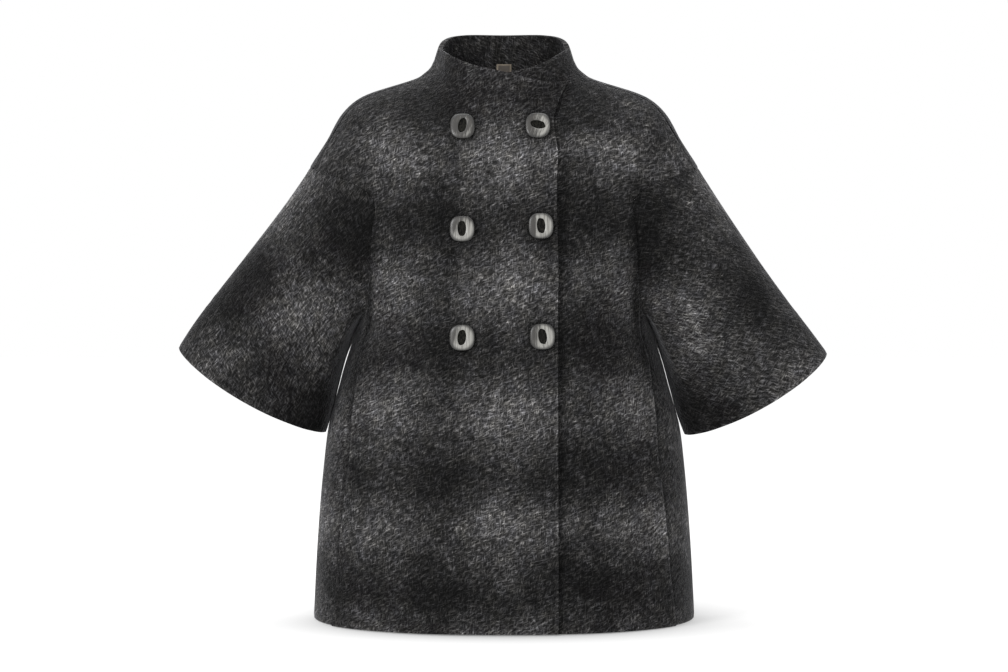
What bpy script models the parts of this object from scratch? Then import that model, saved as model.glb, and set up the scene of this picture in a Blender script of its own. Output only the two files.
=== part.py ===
"""A funnel-neck overcoat in heavy felted wool, filled out with no wearer.

A flared body, wide bell sleeves set low on the upper arm, a collar grown on to the fronts, and a
double-breasted front whose right side laps over the left, with six large buttons.

Metres, +Z up. The front of the coat faces -Y and +X is the viewer's right, which is the wearer's left.
The origin is the centre of the neck's base, level with the inner ends of the shoulders.

The body's outer form is a stack of saddle-shaped sections. A place on it is an angle and a level: the angle
is 0 at the centre front, 90 at the +X side and 180 at the centre back, and the level is a row of SECTIONS,
with fractions between rows. Every wall is that outer form, or the sleeve's, with its thickness laid inwards.
"""

import math
from collections import namedtuple

import bmesh
import bpy
from mathutils import Vector

# ---- Driving dimensions --------------------------------------------------------------------------

CLOTH = 0.003  # felted wool with its lining, one wall
COLLAR_CLOTH = 0.007  # the stand is wool folded over on itself
SEAM_GAP = 0.0003
LAP_GAP = 0.0008  # between two layers that lie on each other

Section = namedtuple(
    "Section", "side_z front_z back_z half_width front_depth back_depth squareness back_lift wall"
)
SECTIONS = (
    Section(-0.807, -0.807, -0.807, 0.2875, 0.1900, 0.1800, 2.40, 0.0, CLOTH),  # 0 hem
    Section(-0.720, -0.720, -0.720, 0.2840, 0.1815, 0.1720, 2.40, 0.0, CLOTH),  # 1 low skirt
    Section(-0.635, -0.635, -0.635, 0.2785, 0.1735, 0.1645, 2.40, 0.0, CLOTH),  # 2 skirt
    Section(-0.555, -0.555, -0.555, 0.2710, 0.1665, 0.1580, 2.40, 0.0, CLOTH),  # 3 hip
    Section(-0.510, -0.510, -0.510, 0.2640, 0.1625, 0.1540, 2.40, 0.0, CLOTH),  # 4 high hip
    Section(-0.465, -0.465, -0.465, 0.2500, 0.1590, 0.1505, 2.40, 0.0, CLOTH),  # 5 waist
    Section(-0.420, -0.420, -0.420, 0.2375, 0.1555, 0.1470, 2.40, 0.0, CLOTH),  # 6 ribs
    Section(-0.375, -0.375, -0.375, 0.2205, 0.1515, 0.1435, 2.40, 0.0, CLOTH),  # 7 underarm
    Section(-0.290, -0.335, -0.325, 0.2500, 0.1470, 0.1390, 2.20, 0.0, CLOTH),  # 8 bust
    Section(-0.188, -0.270, -0.255, 0.3170, 0.1410, 0.1340, 2.05, 0.0, CLOTH),  # 9 upper chest
    Section(-0.140, -0.205, -0.192, 0.2905, 0.1350, 0.1290, 2.15, 0.0, CLOTH),  # 10 dropped armhole
    Section(-0.095, -0.172, -0.155, 0.2640, 0.1305, 0.1245, 2.20, 0.0, CLOTH),  # 11 upper arm
    Section(-0.060, -0.150, -0.125, 0.2430, 0.1270, 0.1185, 2.20, 0.0, CLOTH),  # 12 shoulder point
    Section(-0.037, -0.133, -0.098, 0.2190, 0.1235, 0.1105, 2.20, 0.0, CLOTH),  # 13 shoulder
    Section(-0.022, -0.116, -0.068, 0.1820, 0.1185, 0.1010, 2.15, 0.0, CLOTH),  # 14 inner shoulder
    Section(-0.008, -0.096, -0.036, 0.1370, 0.1115, 0.0890, 2.10, 0.1, 0.0035),  # 15 neck curve
    Section(+0.007, -0.073, -0.004, 0.1135, 0.1035, 0.0790, 2.05, 0.4, 0.0050),  # 16 neck base
    Section(+0.022, -0.045, +0.030, 0.1050, 0.0985, 0.0735, 2.05, 0.8, 0.0065),  # 17 stand
    Section(+0.038, -0.008, +0.071, 0.0995, 0.0930, 0.0700, 2.05, 1.0, COLLAR_CLOTH),  # 18 collar edge
)
BACK_LIFT_POWER = 1.8
NORMAL_ANGLE_STEP = 1.5
NORMAL_LEVEL_STEP = 0.1
UNDERARM_LEVEL, ARMHOLE_LEVEL, NECK_SEAM_LEVEL, TOP_LEVEL = 6.9, 10.0, 17.0, 18.0

Fold = namedtuple("Fold", "angle spread depth top_level")
FOLDS = (  # soft flutes of the flared skirt, on the sides that hang free
    Fold(180.0, 26.0, -0.0045, 7.0),
    Fold(150.0, 17.0, +0.0070, 8.0),
    Fold(-148.0, 19.0, +0.0060, 7.5),
    Fold(122.0, 12.0, -0.0030, 5.0),
    Fold(-120.0, 13.0, -0.0025, 5.5),
)

# One row for each line across the fronts and the back: the level at which it leaves the centre of each, and
# where it meets the seam. Front angles are counted from the centre front, back angles from the centre back.
Line = namedtuple("Line", "front_level back_level seam_level front_angle back_angle")
LINES = (
    Line(0.00, 0.00, 0.00, 56.7, 56.7),  # hem
    Line(0.50, 0.50, 0.50, 55.4, 55.4),
    Line(1.00, 1.00, 1.00, 54.2, 54.2),
    Line(1.50, 1.50, 1.50, 53.6, 53.6),
    Line(2.00, 2.00, 2.00, 53.0, 53.0),
    Line(2.50, 2.50, 2.50, 52.2, 52.2),
    Line(3.00, 3.00, 3.00, 51.6, 51.6),
    Line(4.00, 4.00, 4.00, 53.3, 53.3),
    Line(5.00, 5.00, 5.00, 56.3, 56.3),
    Line(6.00, 6.00, 6.00, 59.3, 59.3),
    Line(6.70, 6.70, 6.75, 62.0, 62.0),
    Line(7.30, 7.30, 7.40, 58.5, 58.5),  # the side seam meets the armhole
    Line(7.80, 7.80, 8.00, 49.4, 49.4),
    Line(8.25, 8.25, 8.50, 40.8, 41.4),
    Line(8.65, 8.65, 9.00, 36.2, 37.6),
    Line(9.05, 9.05, 9.50, 35.8, 37.8),
    Line(9.45, 9.45, 9.80, 38.8, 42.0),  # the armhole turns out over the upper arm
    Line(9.85, 9.90, 9.95, 45.5, 52.0),
    Line(10.3, 10.4, 10.0, 53.0, 64.5),
    Line(10.8, 11.0, 10.0, 60.5, 78.0),
    Line(11.3, 11.6, 10.0, 68.0, 91.5),
    Line(11.8, 12.2, 10.0, 75.0, 105.0),  # top of the armhole, where the shoulder seam starts
    Line(12.3, 12.8, 11.0, 75.0, 105.0),
    Line(12.9, 13.4, 12.0, 75.0, 105.0),
    Line(13.5, 14.0, 13.0, 75.0, 105.0),
    Line(14.2, 14.6, 14.0, 75.0, 105.0),
    Line(15.1, 15.2, 15.0, 75.0, 105.0),
    Line(15.5, 15.6, 15.5, 75.0, 105.0),
    Line(16.0, 16.0, 16.0, 75.0, 105.0),
    Line(16.5, 16.5, 16.5, 75.0, 105.0),
    Line(17.0, 17.0, 17.0, 75.0, 105.0),  # neck seam at the back
    Line(17.5, 17.5, 17.5, 75.0, 105.0),
    Line(18.0, 18.0, 18.0, 75.0, 105.0),  # collar edge
)
ARMHOLE_START = 11
ARMHOLE_END = 21
NECK_LINE = 30

# The fronts
EDGE_X = 0.0755  # the lapped edge's distance past the centre
EDGE_SWING = 0.0150  # how much further past it the collar's corner reaches
EDGE_SWING_FROM_Z = -0.20
EDGE_SWING_POWER = 1.6
CORNER_Z = -0.07
UNDER_EDGE_X = 0.070
LAP_CLEAR = 0.004  # the upper front stays up this far past the under front's edge
LAP_FADE_ANGLE = 24.0
CORNER_DROP = 1.8  # levels that the collar's edge falls from the centre to the corner
CORNER_DROP_POWER = 4
CORNER_ANGLE = 51.0
DROP_LEAD = 15.0  # how long before the centre the edge begins to fall, in degrees
FRONT_COLUMNS = 15
BACK_COLUMNS = 22
COLLAR_ROWS = 4
EDGE_STRIP = 0.03  # the narrow last column, which lies on the side panel

# The side panels lie a little deeper than the fronts and the back, which lap over them
SIDE_RECESS = CLOTH + LAP_GAP
SIDE_TUCK = 0.008  # how far the panel's edges run on beneath its neighbours
RECESS_LEVELS = (6.9, 5.8)
TUCK_LEVELS = (5.6, 5.0)
SIDE_COLUMNS = 8
UNDERARM_POINT = ARMHOLE_END - ARMHOLE_START + SIDE_COLUMNS // 2  # the lowest of the armhole's points

# The sleeves. A cuff's angles are those at which its edges run, below the horizontal
Cuff = namedtuple("Cuff", "x y z half_width half_depth overarm_angle underarm_angle push_back")
RIGHT_CUFF = Cuff(0.3700, -0.046, -0.4700, 0.1253, 0.070, math.radians(60.0), math.radians(72.4), 0.028)
LEFT_CUFF = Cuff(0.3710, -0.040, -0.4760, 0.1211, 0.082, math.radians(54.6), math.radians(66.0), 0.036)
CUFF_TILT = math.radians(30.2)  # of the cuff's width above the horizontal
CUFF_CURVE_FRONT = 0.016
CUFF_CURVE_BACK = 0.006
CUFF_CURVE_POWER = 1.5
SLEEVE_BELL = 0.10
SLEEVE_STATIONS = (0.0, 0.03, 0.08, 0.15, 0.25, 0.37, 0.50, 0.63, 0.76, 0.88, 1.0)
CREVICE_DEPTH = 0.0018  # the sleeve starts this far below the front, which stands proud of it
EASE_TOP = 0.30  # how far the sleeve first runs on along the body's form
EASE_FRONT = 0.07
EASE_UNDERARM = 0.012
PUSH_FRONT = 0.020  # how strongly the sleeve leaves outwards under the arm, clear of the side panel
# Where these begin and end, from 0 at the top of the armhole to 1 under the arm
CREVICE_STARTS = (0.20, 0.50)
CREVICE_ENDS = (0.75, 0.90)
EASE_FRONT_SPAN = (0.00, 0.50)
EASE_UNDERARM_SPAN = (0.75, 1.00)
PUSH_SPAN = (0.67, 1.00)

# The buttons, each domed, with an oval recess that holds its thread
Button = namedtuple("Button", "name x z recess_turn")
BUTTONS = (
    Button("button_top_outer", -0.0590, -0.0930, -12.0),
    Button("button_top_inner", +0.0480, -0.0920, 78.0),
    Button("button_middle_outer", -0.0590, -0.2400, 0.0),
    Button("button_middle_inner", +0.0520, -0.2360, 4.0),
    Button("button_bottom_outer", -0.0585, -0.3945, -6.0),
    Button("button_bottom_inner", +0.0535, -0.3930, 8.0),
)
BUTTON_HALF_WIDTH = 0.0175
BUTTON_HALF_HEIGHT = 0.0182
BUTTON_SQUARENESS = 2.7
TRIM_GAP = 0.0005  # between a button or the label and its cloth
RECESS_HALF_WIDTH = 0.0060
RECESS_HALF_HEIGHT = 0.0113
BUTTON_POINTS = 20
SEARCH_STEPS = 40
ButtonRing = namedtuple("ButtonRing", "outline oval height")
BUTTON_RINGS = (  # outline and oval are the shares of the button's outline and of the recess's oval
    ButtonRing(0.86, 0.0, 0.0000),
    ButtonRing(0.99, 0.0, 0.0012),
    ButtonRing(1.00, 0.0, 0.0030),
    ButtonRing(0.93, 0.0, 0.0046),
    ButtonRing(0.72, 0.0, 0.0056),
    ButtonRing(0.00, 1.0, 0.0052),
    ButtonRing(0.00, 0.85, 0.0030),
)

# The bare label inside the back neck
LABEL_HALF_WIDTH = 0.0125
LABEL_LEVELS = (16.45, 16.93)
LABEL_THICKNESS = 0.0008
LABEL_ROWS, LABEL_COLUMNS = 2, 4

Finish = namedtuple("Finish", "name colour roughness")
WOOL = Finish("felted_wool", (0.045, 0.045, 0.048), 0.95)
HORN = Finish("grey_horn", (0.36, 0.35, 0.33), 0.35)
WEBBING = Finish("woven_label", (0.10, 0.09, 0.08), 0.80)


# ---- Curves and the body's form ------------------------------------------------------------------


def smooth(share):
    """0 up to share 0, 1 from share 1, and an even S between."""
    share = min(1.0, max(0.0, share))
    return share * share * (3.0 - 2.0 * share)


def ramp(value, span):
    """0 before the span and 1 past it, rising smoothly between."""
    return smooth((value - span[0]) / (span[1] - span[0]))


def curve_between(start, leave, end, arrive, share):
    """A place on the curve that leaves start along one vector and arrives at end along the other."""
    cube, square = share**3, share**2
    return (
        start * (2 * cube - 3 * square + 1)
        + leave * (cube - 2 * square + share)
        + end * (3 * square - 2 * cube)
        + arrive * (cube - square)
    )


def section_at(level):
    """The section at a level, read from the table along smooth curves."""
    last = len(SECTIONS) - 1
    level = min(float(last), max(0.0, level))
    low = min(int(level), last - 1)
    share = level - low
    before, start = SECTIONS[max(low - 1, 0)], SECTIONS[low]
    end, after = SECTIONS[low + 1], SECTIONS[min(low + 2, last)]
    found = []
    for a, b, c, d in zip(before, start, end, after):
        leave = (c - a) / 2.0 if low > 0 else c - b
        arrive = (d - b) / 2.0 if low + 2 <= last else c - b
        found.append(curve_between(b, leave, c, arrive, share))
    return Section(*found)


def signed_power(value, power):
    """The power of a value's size, with the value's sign."""
    return math.copysign(abs(value) ** power, value)


def fold_height(angle, level):
    """How far the flutes push the cloth out at this place. They are deepest at the hem."""
    height = 0.0
    for fold in FOLDS:
        off = (angle - fold.angle + 180.0) % 360.0 - 180.0
        if abs(off) < fold.spread and level < fold.top_level:
            across = math.cos(off / fold.spread * math.pi / 2.0) ** 2
            height += fold.depth * across * smooth(1.0 - level / fold.top_level)
    return height


def body_point(angle, level):
    """The body's outer form at an angle in degrees and a level."""
    section = section_at(level)
    turn = math.radians(angle)
    sine, cosine = math.sin(turn), math.cos(turn)
    power = 2.0 / section.squareness
    depth = section.front_depth if cosine >= 0 else section.back_depth
    end_z = section.front_z if cosine >= 0 else section.back_z
    rise = cosine * cosine
    if cosine < 0:
        rise += (1.0 - (1.0 + cosine) ** BACK_LIFT_POWER - rise) * section.back_lift
    fold = fold_height(angle, level)
    return Vector(
        (
            section.half_width * signed_power(sine, power) + fold * sine,
            -depth * signed_power(cosine, power) - fold * cosine,
            section.side_z + (end_z - section.side_z) * rise,
        )
    )


def body_normal(angle, level):
    """The outward direction of the body's form."""
    around = body_point(angle + NORMAL_ANGLE_STEP, level) - body_point(angle - NORMAL_ANGLE_STEP, level)
    above, below = min(level + NORMAL_LEVEL_STEP, TOP_LEVEL), max(level - NORMAL_LEVEL_STEP, 0.0)
    upward = body_point(angle, above) - body_point(angle, below)
    return around.cross(upward).normalized()


def angle_at(x, level):
    """The angle on the front at which the body's form is x wide at this level."""
    section = section_at(level)
    return math.degrees(math.asin(min(1.0, x / section.half_width) ** (section.squareness / 2.0)))


def angle_of_length(length, angle, level):
    """The angle that a short length along the cloth takes up."""
    step = (body_point(angle + 1.0, level) - body_point(angle - 1.0, level)).length / 2.0
    return length / step


# ---- Solids --------------------------------------------------------------------------------------


def clear_scene():
    """Empties Blender's starting scene."""
    for old in list(bpy.data.objects):
        bpy.data.objects.remove(old, do_unlink=True)


def material_of(finish):
    """The plain material of a finish, made once."""
    made = bpy.data.materials.get(finish.name)
    if made is None:
        made = bpy.data.materials.new(finish.name)
        made.use_nodes = True
        shader = made.node_tree.nodes["Principled BSDF"]
        shader.inputs["Base Color"].default_value = (*finish.colour, 1.0)
        shader.inputs["Roughness"].default_value = finish.roughness
        shader.inputs["Metallic"].default_value = 0.0
    return made


def add_object(name, bm, finish):
    """Closes off a bmesh as a named object with its faces pointing out."""
    bmesh.ops.recalc_face_normals(bm, faces=bm.faces)
    mesh = bpy.data.meshes.new(name)
    bm.to_mesh(mesh)
    bm.free()
    mesh.shade_smooth()
    mesh.set_sharp_from_angle(angle=math.radians(40.0))
    mesh.materials.append(material_of(finish))
    made = bpy.data.objects.new(name, mesh)
    bpy.context.scene.collection.objects.link(made)
    return made


def add_wall(name, outer, inner, finish):
    """A closed sheet of cloth between two grids of points, each a list of rows."""
    bm = bmesh.new()
    out = [[bm.verts.new(p) for p in row] for row in outer]
    back = [[bm.verts.new(p) for p in row] for row in inner]
    rows, columns = len(out), len(out[0])
    for i in range(rows - 1):
        for j in range(columns - 1):
            bm.faces.new((out[i][j], out[i][j + 1], out[i + 1][j + 1], out[i + 1][j]))
            bm.faces.new((back[i][j], back[i + 1][j], back[i + 1][j + 1], back[i][j + 1]))
    for i in range(rows - 1):
        for j in (0, columns - 1):
            close_edge(bm, out[i][j], out[i + 1][j], back[i][j], back[i + 1][j])
    for j in range(columns - 1):
        for i in (0, rows - 1):
            close_edge(bm, out[i][j], out[i][j + 1], back[i][j], back[i][j + 1])
    bmesh.ops.triangulate(bm, faces=bm.faces, quad_method="SHORT_EDGE")
    return add_object(name, bm, finish)


def close_edge(bm, out_a, out_b, in_a, in_b):
    """The cut edge of a wall between two of its points, always folded one way, so that two walls match."""
    if out_a.co.z + abs(out_a.co.x) / 3.0 > out_b.co.z + abs(out_b.co.x) / 3.0:
        out_a, out_b, in_a, in_b = out_b, out_a, in_b, in_a
    bm.faces.new((out_a, out_b, in_b))
    bm.faces.new((out_a, in_b, in_a))


def body_pair(angle, level, offset):
    """The outer and inner point of a wall whose outside lies offset out from the body's form."""
    place, normal = body_point(angle, level), body_normal(angle, level)
    wall = section_at(level).wall
    return place + normal * offset, place + normal * (offset - wall)


# ---- Fronts --------------------------------------------------------------------------------------


def edge_angle(level, over):
    """The angle past the centre of a front's free edge. The upper one swings out to the collar's corner."""
    if not over:
        return angle_at(UNDER_EDGE_X, level)
    rise = (section_at(level).front_z - EDGE_SWING_FROM_Z) / (CORNER_Z - EDGE_SWING_FROM_Z)
    return angle_at(EDGE_X + EDGE_SWING * min(1.0, max(0.0, rise)) ** EDGE_SWING_POWER, level)


def collar_level(angle_past, line_level):
    """Past the centre the collar's edge falls towards its corner, and the lines below it a little less."""
    if angle_past <= -DROP_LEAD:
        return line_level
    drop = CORNER_DROP * ((angle_past + DROP_LEAD) / (CORNER_ANGLE + DROP_LEAD)) ** 2
    return line_level - drop * (line_level / TOP_LEVEL) ** CORNER_DROP_POWER


def lap_offset(angle_past, level):
    """How far the upper front stands off the form: a layer out over the lap, and none at its own side."""
    full_from = -angle_at(UNDER_EDGE_X + LAP_CLEAR, level)
    share = (angle_past - (full_from - LAP_FADE_ANGLE)) / LAP_FADE_ANGLE
    return (section_at(level).wall + LAP_GAP) * smooth(share)


def front_shares():
    """The shares of the way from the free edge to the seam at which the columns stand."""
    return [i / (FRONT_COLUMNS - 1) * (1.0 - EDGE_STRIP) for i in range(FRONT_COLUMNS)] + [1.0]


def front_place(line, share, over):
    """Angle past the centre, negative on the front's own side, and level, of a point on a line."""
    level = line.front_level + (line.seam_level - line.front_level) * share
    edge = edge_angle(collar_level(CORNER_ANGLE, line.front_level), over)
    seam = line.front_angle
    if line.seam_level >= ARMHOLE_LEVEL and line is not LINES[ARMHOLE_END]:
        seam -= angle_of_length(SEAM_GAP / 2.0, seam, line.seam_level)
    angle_past = edge + (-seam - edge) * share
    return angle_past, collar_level(angle_past, level)


def add_front(name, own_side, over):
    """One front with its grown-on collar. own_side is -1 or 1, the X side where its shoulder is."""
    outer, inner = [], []
    for line in LINES:
        out_row, in_row = [], []
        for share in front_shares():
            angle_past, level = front_place(line, share, over)
            offset = lap_offset(angle_past, level) if over else 0.0
            out_point, in_point = body_pair(-own_side * angle_past, level, offset)
            out_row.append(out_point)
            in_row.append(in_point)
        outer.append(out_row)
        inner.append(in_row)
    return add_wall(name, outer, inner, WOOL)


# ---- Back and sides ------------------------------------------------------------------------------


def back_shares():
    """The back's columns, from -1 at one seam through 0 at the centre to 1 at the other."""
    half = BACK_COLUMNS // 2
    right = [i / (half - 1) * (1.0 - EDGE_STRIP) for i in range(half)] + [1.0]
    return [-share for share in reversed(right[1:])] + right


def back_angle(line, share):
    """The angle of a point on a line across the back."""
    seam = line.back_angle
    if line.seam_level >= ARMHOLE_LEVEL and line is not LINES[ARMHOLE_END]:
        seam -= angle_of_length(SEAM_GAP / 2.0, 180.0 - seam, line.seam_level)
    return 180.0 - seam * share


def back_level(line, share):
    """The level of a point on a line across the back."""
    return line.back_level + (line.seam_level - line.back_level) * share * share


def add_back():
    """The back, up to the neck seam."""
    outer, inner = [], []
    for line in LINES[: NECK_LINE + 1]:
        pairs = [body_pair(back_angle(line, s), back_level(line, s), 0.0) for s in back_shares()]
        outer.append([pair[0] for pair in pairs])
        inner.append([pair[1] for pair in pairs])
    return add_wall("back", outer, inner, WOOL)


def add_back_collar():
    """The back of the stand, from the neck seam up."""
    height = (body_point(180.0, TOP_LEVEL) - body_point(180.0, NECK_SEAM_LEVEL)).length
    start = NECK_SEAM_LEVEL + SEAM_GAP / height
    outer, inner = [], []
    for i in range(COLLAR_ROWS + 1):
        level = start + (TOP_LEVEL - start) * i / COLLAR_ROWS
        pairs = [body_pair(back_angle(LINES[-1], s), level, 0.0) for s in back_shares()]
        outer.append([pair[0] for pair in pairs])
        inner.append([pair[1] for pair in pairs])
    return add_wall("collar_back", outer, inner, WOOL)


def side_top_level(share):
    """The underarm curve: the side panel's top, lowest at its middle. share runs from -1 to 1."""
    joined = LINES[ARMHOLE_START].seam_level
    return UNDERARM_LEVEL + (joined - UNDERARM_LEVEL) * share * share


def side_shares():
    """The side panel's columns, from -1 at the front's seam to 1 at the back's."""
    half = SIDE_COLUMNS // 2
    right = [i / half for i in range(half + 1)]
    return [-share for share in reversed(right[1:])] + right


def add_side(name, side):
    """The panel under the arm, between the front's seam and the back's."""
    lines = LINES[: ARMHOLE_START + 1]
    top = lines[-1].seam_level
    outer, inner = [], []
    for line in lines:
        out_row, in_row = [], []
        for share in side_shares():
            level = line.seam_level * side_top_level(share) / top
            tuck = angle_of_length(SIDE_TUCK * ramp(level, TUCK_LEVELS) - SEAM_GAP, line.front_angle, level)
            span = 90.0 - line.front_angle + tuck
            recess = SIDE_RECESS * ramp(level, RECESS_LEVELS)
            out_point, in_point = body_pair(side * (90.0 + span * share), level, -recess)
            out_row.append(out_point)
            in_row.append(in_point)
        outer.append(out_row)
        inner.append(in_row)
    return add_wall(name, outer, inner, WOOL)


# ---- Sleeves -------------------------------------------------------------------------------------


def armhole_places():
    """Angle and level of the +X armhole's points, from the top down the front, under the arm and back up."""
    front = [(line.front_angle, line.seam_level) for line in LINES[ARMHOLE_START : ARMHOLE_END + 1]]
    back = [(180.0 - line.back_angle, line.seam_level) for line in LINES[ARMHOLE_START : ARMHOLE_END + 1]]
    start = LINES[ARMHOLE_START].front_angle
    under = [(90.0 + (90.0 - start) * share, side_top_level(share)) for share in side_shares()[1:-1]]
    return front[::-1] + under + back[:-1]


def armhole_points():
    """The armhole's points with the body's normal and the direction along the cloth away from the body."""
    places = armhole_places()
    found = []
    for i, (angle, level) in enumerate(places):
        before, after = places[i - 1], places[(i + 1) % len(places)]
        along = body_point(*after) - body_point(*before)
        normal = body_normal(angle, level)
        away = normal.cross(along).normalized()
        found.append((body_point(angle, level), normal, away))
    return found


def armhole_lengths(points):
    """The distance round the armhole to each point, from the first."""
    lengths = [0.0]
    for i in range(1, len(points) + 1):
        step = points[i % len(points)][0] - points[i - 1][0]
        lengths.append(lengths[-1] + step.length)
    return lengths


def cuff_point(cuff, turn):
    """The +X cuff's rim. turn is 0 at the tip, a quarter at the front, a half at the underarm."""
    around = 2.0 * math.pi * turn
    wide = Vector((math.cos(CUFF_TILT), 0.0, math.sin(CUFF_TILT)))
    out = Vector((math.sin(CUFF_TILT), 0.0, -math.cos(CUFF_TILT)))
    curve = CUFF_CURVE_FRONT if math.sin(around) > 0 else CUFF_CURVE_BACK
    return (
        Vector((cuff.x, cuff.y, cuff.z))
        + wide * (cuff.half_width * math.cos(around))
        + Vector((0.0, -1.0, 0.0)) * (cuff.half_depth * math.sin(around))
        + out * (curve * abs(math.sin(around)) ** CUFF_CURVE_POWER)
    )


def cuff_direction(cuff, turn):
    """The way the sleeve runs at the cuff, flaring from the underarm line to the overarm line."""
    around = 2.0 * math.pi * turn
    share = (1.0 + math.cos(around)) / 2.0
    dip = cuff.underarm_angle + (cuff.overarm_angle - cuff.underarm_angle) * share
    return Vector((math.cos(dip), -SLEEVE_BELL * math.sin(around), -math.sin(dip))).normalized()


def sleeve_turns(points):
    """Which point of the cuff each of the armhole's points runs to, by its share of the way round."""
    lengths = armhole_lengths(points)
    under, whole = lengths[UNDERARM_POINT], lengths[-1]
    front = [0.5 * length / under for length in lengths[: UNDERARM_POINT + 1]]
    rest = lengths[UNDERARM_POINT + 1 : -1]
    return front + [0.5 + 0.5 * (length - under) / (whole - under) for length in rest]


def sleeve_point(cuff, armhole_point, turn, station):
    """A point of the +X sleeve's outer face, at a share of the way from the armhole to the cuff."""
    place, normal, away = armhole_point
    under = math.sin(math.pi * turn) ** 2
    crevice = ramp(under, CREVICE_STARTS) * (1.0 - ramp(under, CREVICE_ENDS))
    ease = EASE_TOP + (EASE_FRONT - EASE_TOP) * ramp(under, EASE_FRONT_SPAN)
    ease += (EASE_UNDERARM - EASE_FRONT) * ramp(under, EASE_UNDERARM_SPAN)
    push = (PUSH_FRONT if turn < 0.5 else cuff.push_back) * ramp(under, PUSH_SPAN)
    start = place + away * SEAM_GAP - normal * (CREVICE_DEPTH * crevice)
    end = cuff_point(cuff, turn)
    arrive = cuff_direction(cuff, turn) * (end - start).length
    return curve_between(start, away * ease + normal * push, end, arrive, station)


def sleeve_rings(cuff):
    """Rings of (outer, inner) points of the +X sleeve, from the armhole to the cuff."""
    points = armhole_points()
    turns = sleeve_turns(points)
    count, last = len(points), len(SLEEVE_STATIONS) - 1
    rings = []
    for station in SLEEVE_STATIONS:
        rings.append([sleeve_point(cuff, points[i], turns[i], station) for i in range(count)])
    pairs = []
    for r, ring in enumerate(rings):
        row = []
        for i in range(count):
            around = ring[(i + 1) % count] - ring[i - 1]
            along = rings[min(r + 1, last)][i] - rings[max(r - 1, 0)][i]
            normal = points[i][1] if r == 0 else around.cross(along).normalized()
            row.append((ring[i], ring[i] - normal * CLOTH))
        pairs.append(row)
    return pairs


def add_sleeve_halves(side, side_name, cuff):
    """The front and the back half of one sleeve, joined over the arm and under it."""
    rings = sleeve_rings(cuff)
    count = len(rings[0])
    halves = (
        ("sleeve_front_" + side_name, list(range(UNDERARM_POINT + 1))),
        ("sleeve_back_" + side_name, list(range(UNDERARM_POINT, count)) + [0]),
    )
    mirror = Vector((side, 1.0, 1.0))
    for name, columns in halves:
        outer, inner = [], []
        for ring in rings:
            rows = ([], [])
            for k in (0, 1):
                row = [ring[c][k].copy() for c in columns]
                row[0] += (row[1] - row[0]).normalized() * (SEAM_GAP / 2.0)
                row[-1] += (row[-2] - row[-1]).normalized() * (SEAM_GAP / 2.0)
                rows[k].extend(p * mirror for p in row)
            outer.append(rows[0])
            inner.append(rows[1])
        add_wall(name, outer, inner, WOOL)


# ---- Buttons and label ---------------------------------------------------------------------------


def front_at(x, z):
    """The angle and level of the point of the front's form that is x across and z up."""
    low, high = 0.0, TOP_LEVEL
    for _ in range(SEARCH_STEPS):
        middle = (low + high) / 2.0
        angle = math.copysign(angle_at(abs(x), middle), x)
        if body_point(angle, middle).z < z:
            low = middle
        else:
            high = middle
    return angle, middle


def over_front_point(x, z, height):
    """A point height out from the upper front's outer face."""
    angle, level = front_at(x, z)
    return body_pair(angle, level, lap_offset(angle, level) + height)[0]


def button_outline(turn):
    """A point of the button's rounded-square outline."""
    power = 2.0 / BUTTON_SQUARENESS
    return (
        BUTTON_HALF_WIDTH * signed_power(math.cos(turn), power),
        BUTTON_HALF_HEIGHT * signed_power(math.sin(turn), power),
    )


def recess_outline(turn, tilt):
    """A point of the recess's oval, tilted about its centre."""
    across, up = RECESS_HALF_WIDTH * math.cos(turn), RECESS_HALF_HEIGHT * math.sin(turn)
    return (
        across * math.cos(tilt) - up * math.sin(tilt),
        across * math.sin(tilt) + up * math.cos(tilt),
    )


def recess_start(turn, tilt):
    """The turn at which the oval's point lies in the same direction as the outline's point at this turn."""
    across, up = button_outline(turn)
    direction = math.atan2(up, across) - tilt
    return math.atan2(math.sin(direction) / RECESS_HALF_HEIGHT, math.cos(direction) / RECESS_HALF_WIDTH)


def add_button(button):
    """A domed button whose underside follows the cloth."""
    bm = bmesh.new()
    tilt = math.radians(button.recess_turn)
    turns = [2.0 * math.pi * (i + 0.5) / BUTTON_POINTS for i in range(BUTTON_POINTS)]
    rings = []
    for ring in BUTTON_RINGS:
        row = []
        for turn in turns:
            wide, tall = button_outline(turn)
            across, up = recess_outline(recess_start(turn, tilt), tilt)
            x = button.x + wide * ring.outline + across * ring.oval
            z = button.z + tall * ring.outline + up * ring.oval
            row.append(bm.verts.new(over_front_point(x, z, TRIM_GAP + ring.height)))
        rings.append(row)
    for lower, upper in zip(rings, rings[1:]):
        for i in range(BUTTON_POINTS):
            j = (i + 1) % BUTTON_POINTS
            bm.faces.new((lower[i], lower[j], upper[j], upper[i]))
    for ring, height in ((rings[0], 0.0), (rings[-1], BUTTON_RINGS[-1].height)):
        middle = bm.verts.new(over_front_point(button.x, button.z, TRIM_GAP + height))
        for i in range(BUTTON_POINTS):
            bm.faces.new((ring[i], ring[(i + 1) % BUTTON_POINTS], middle))
    return add_object(button.name, bm, HORN)


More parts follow.
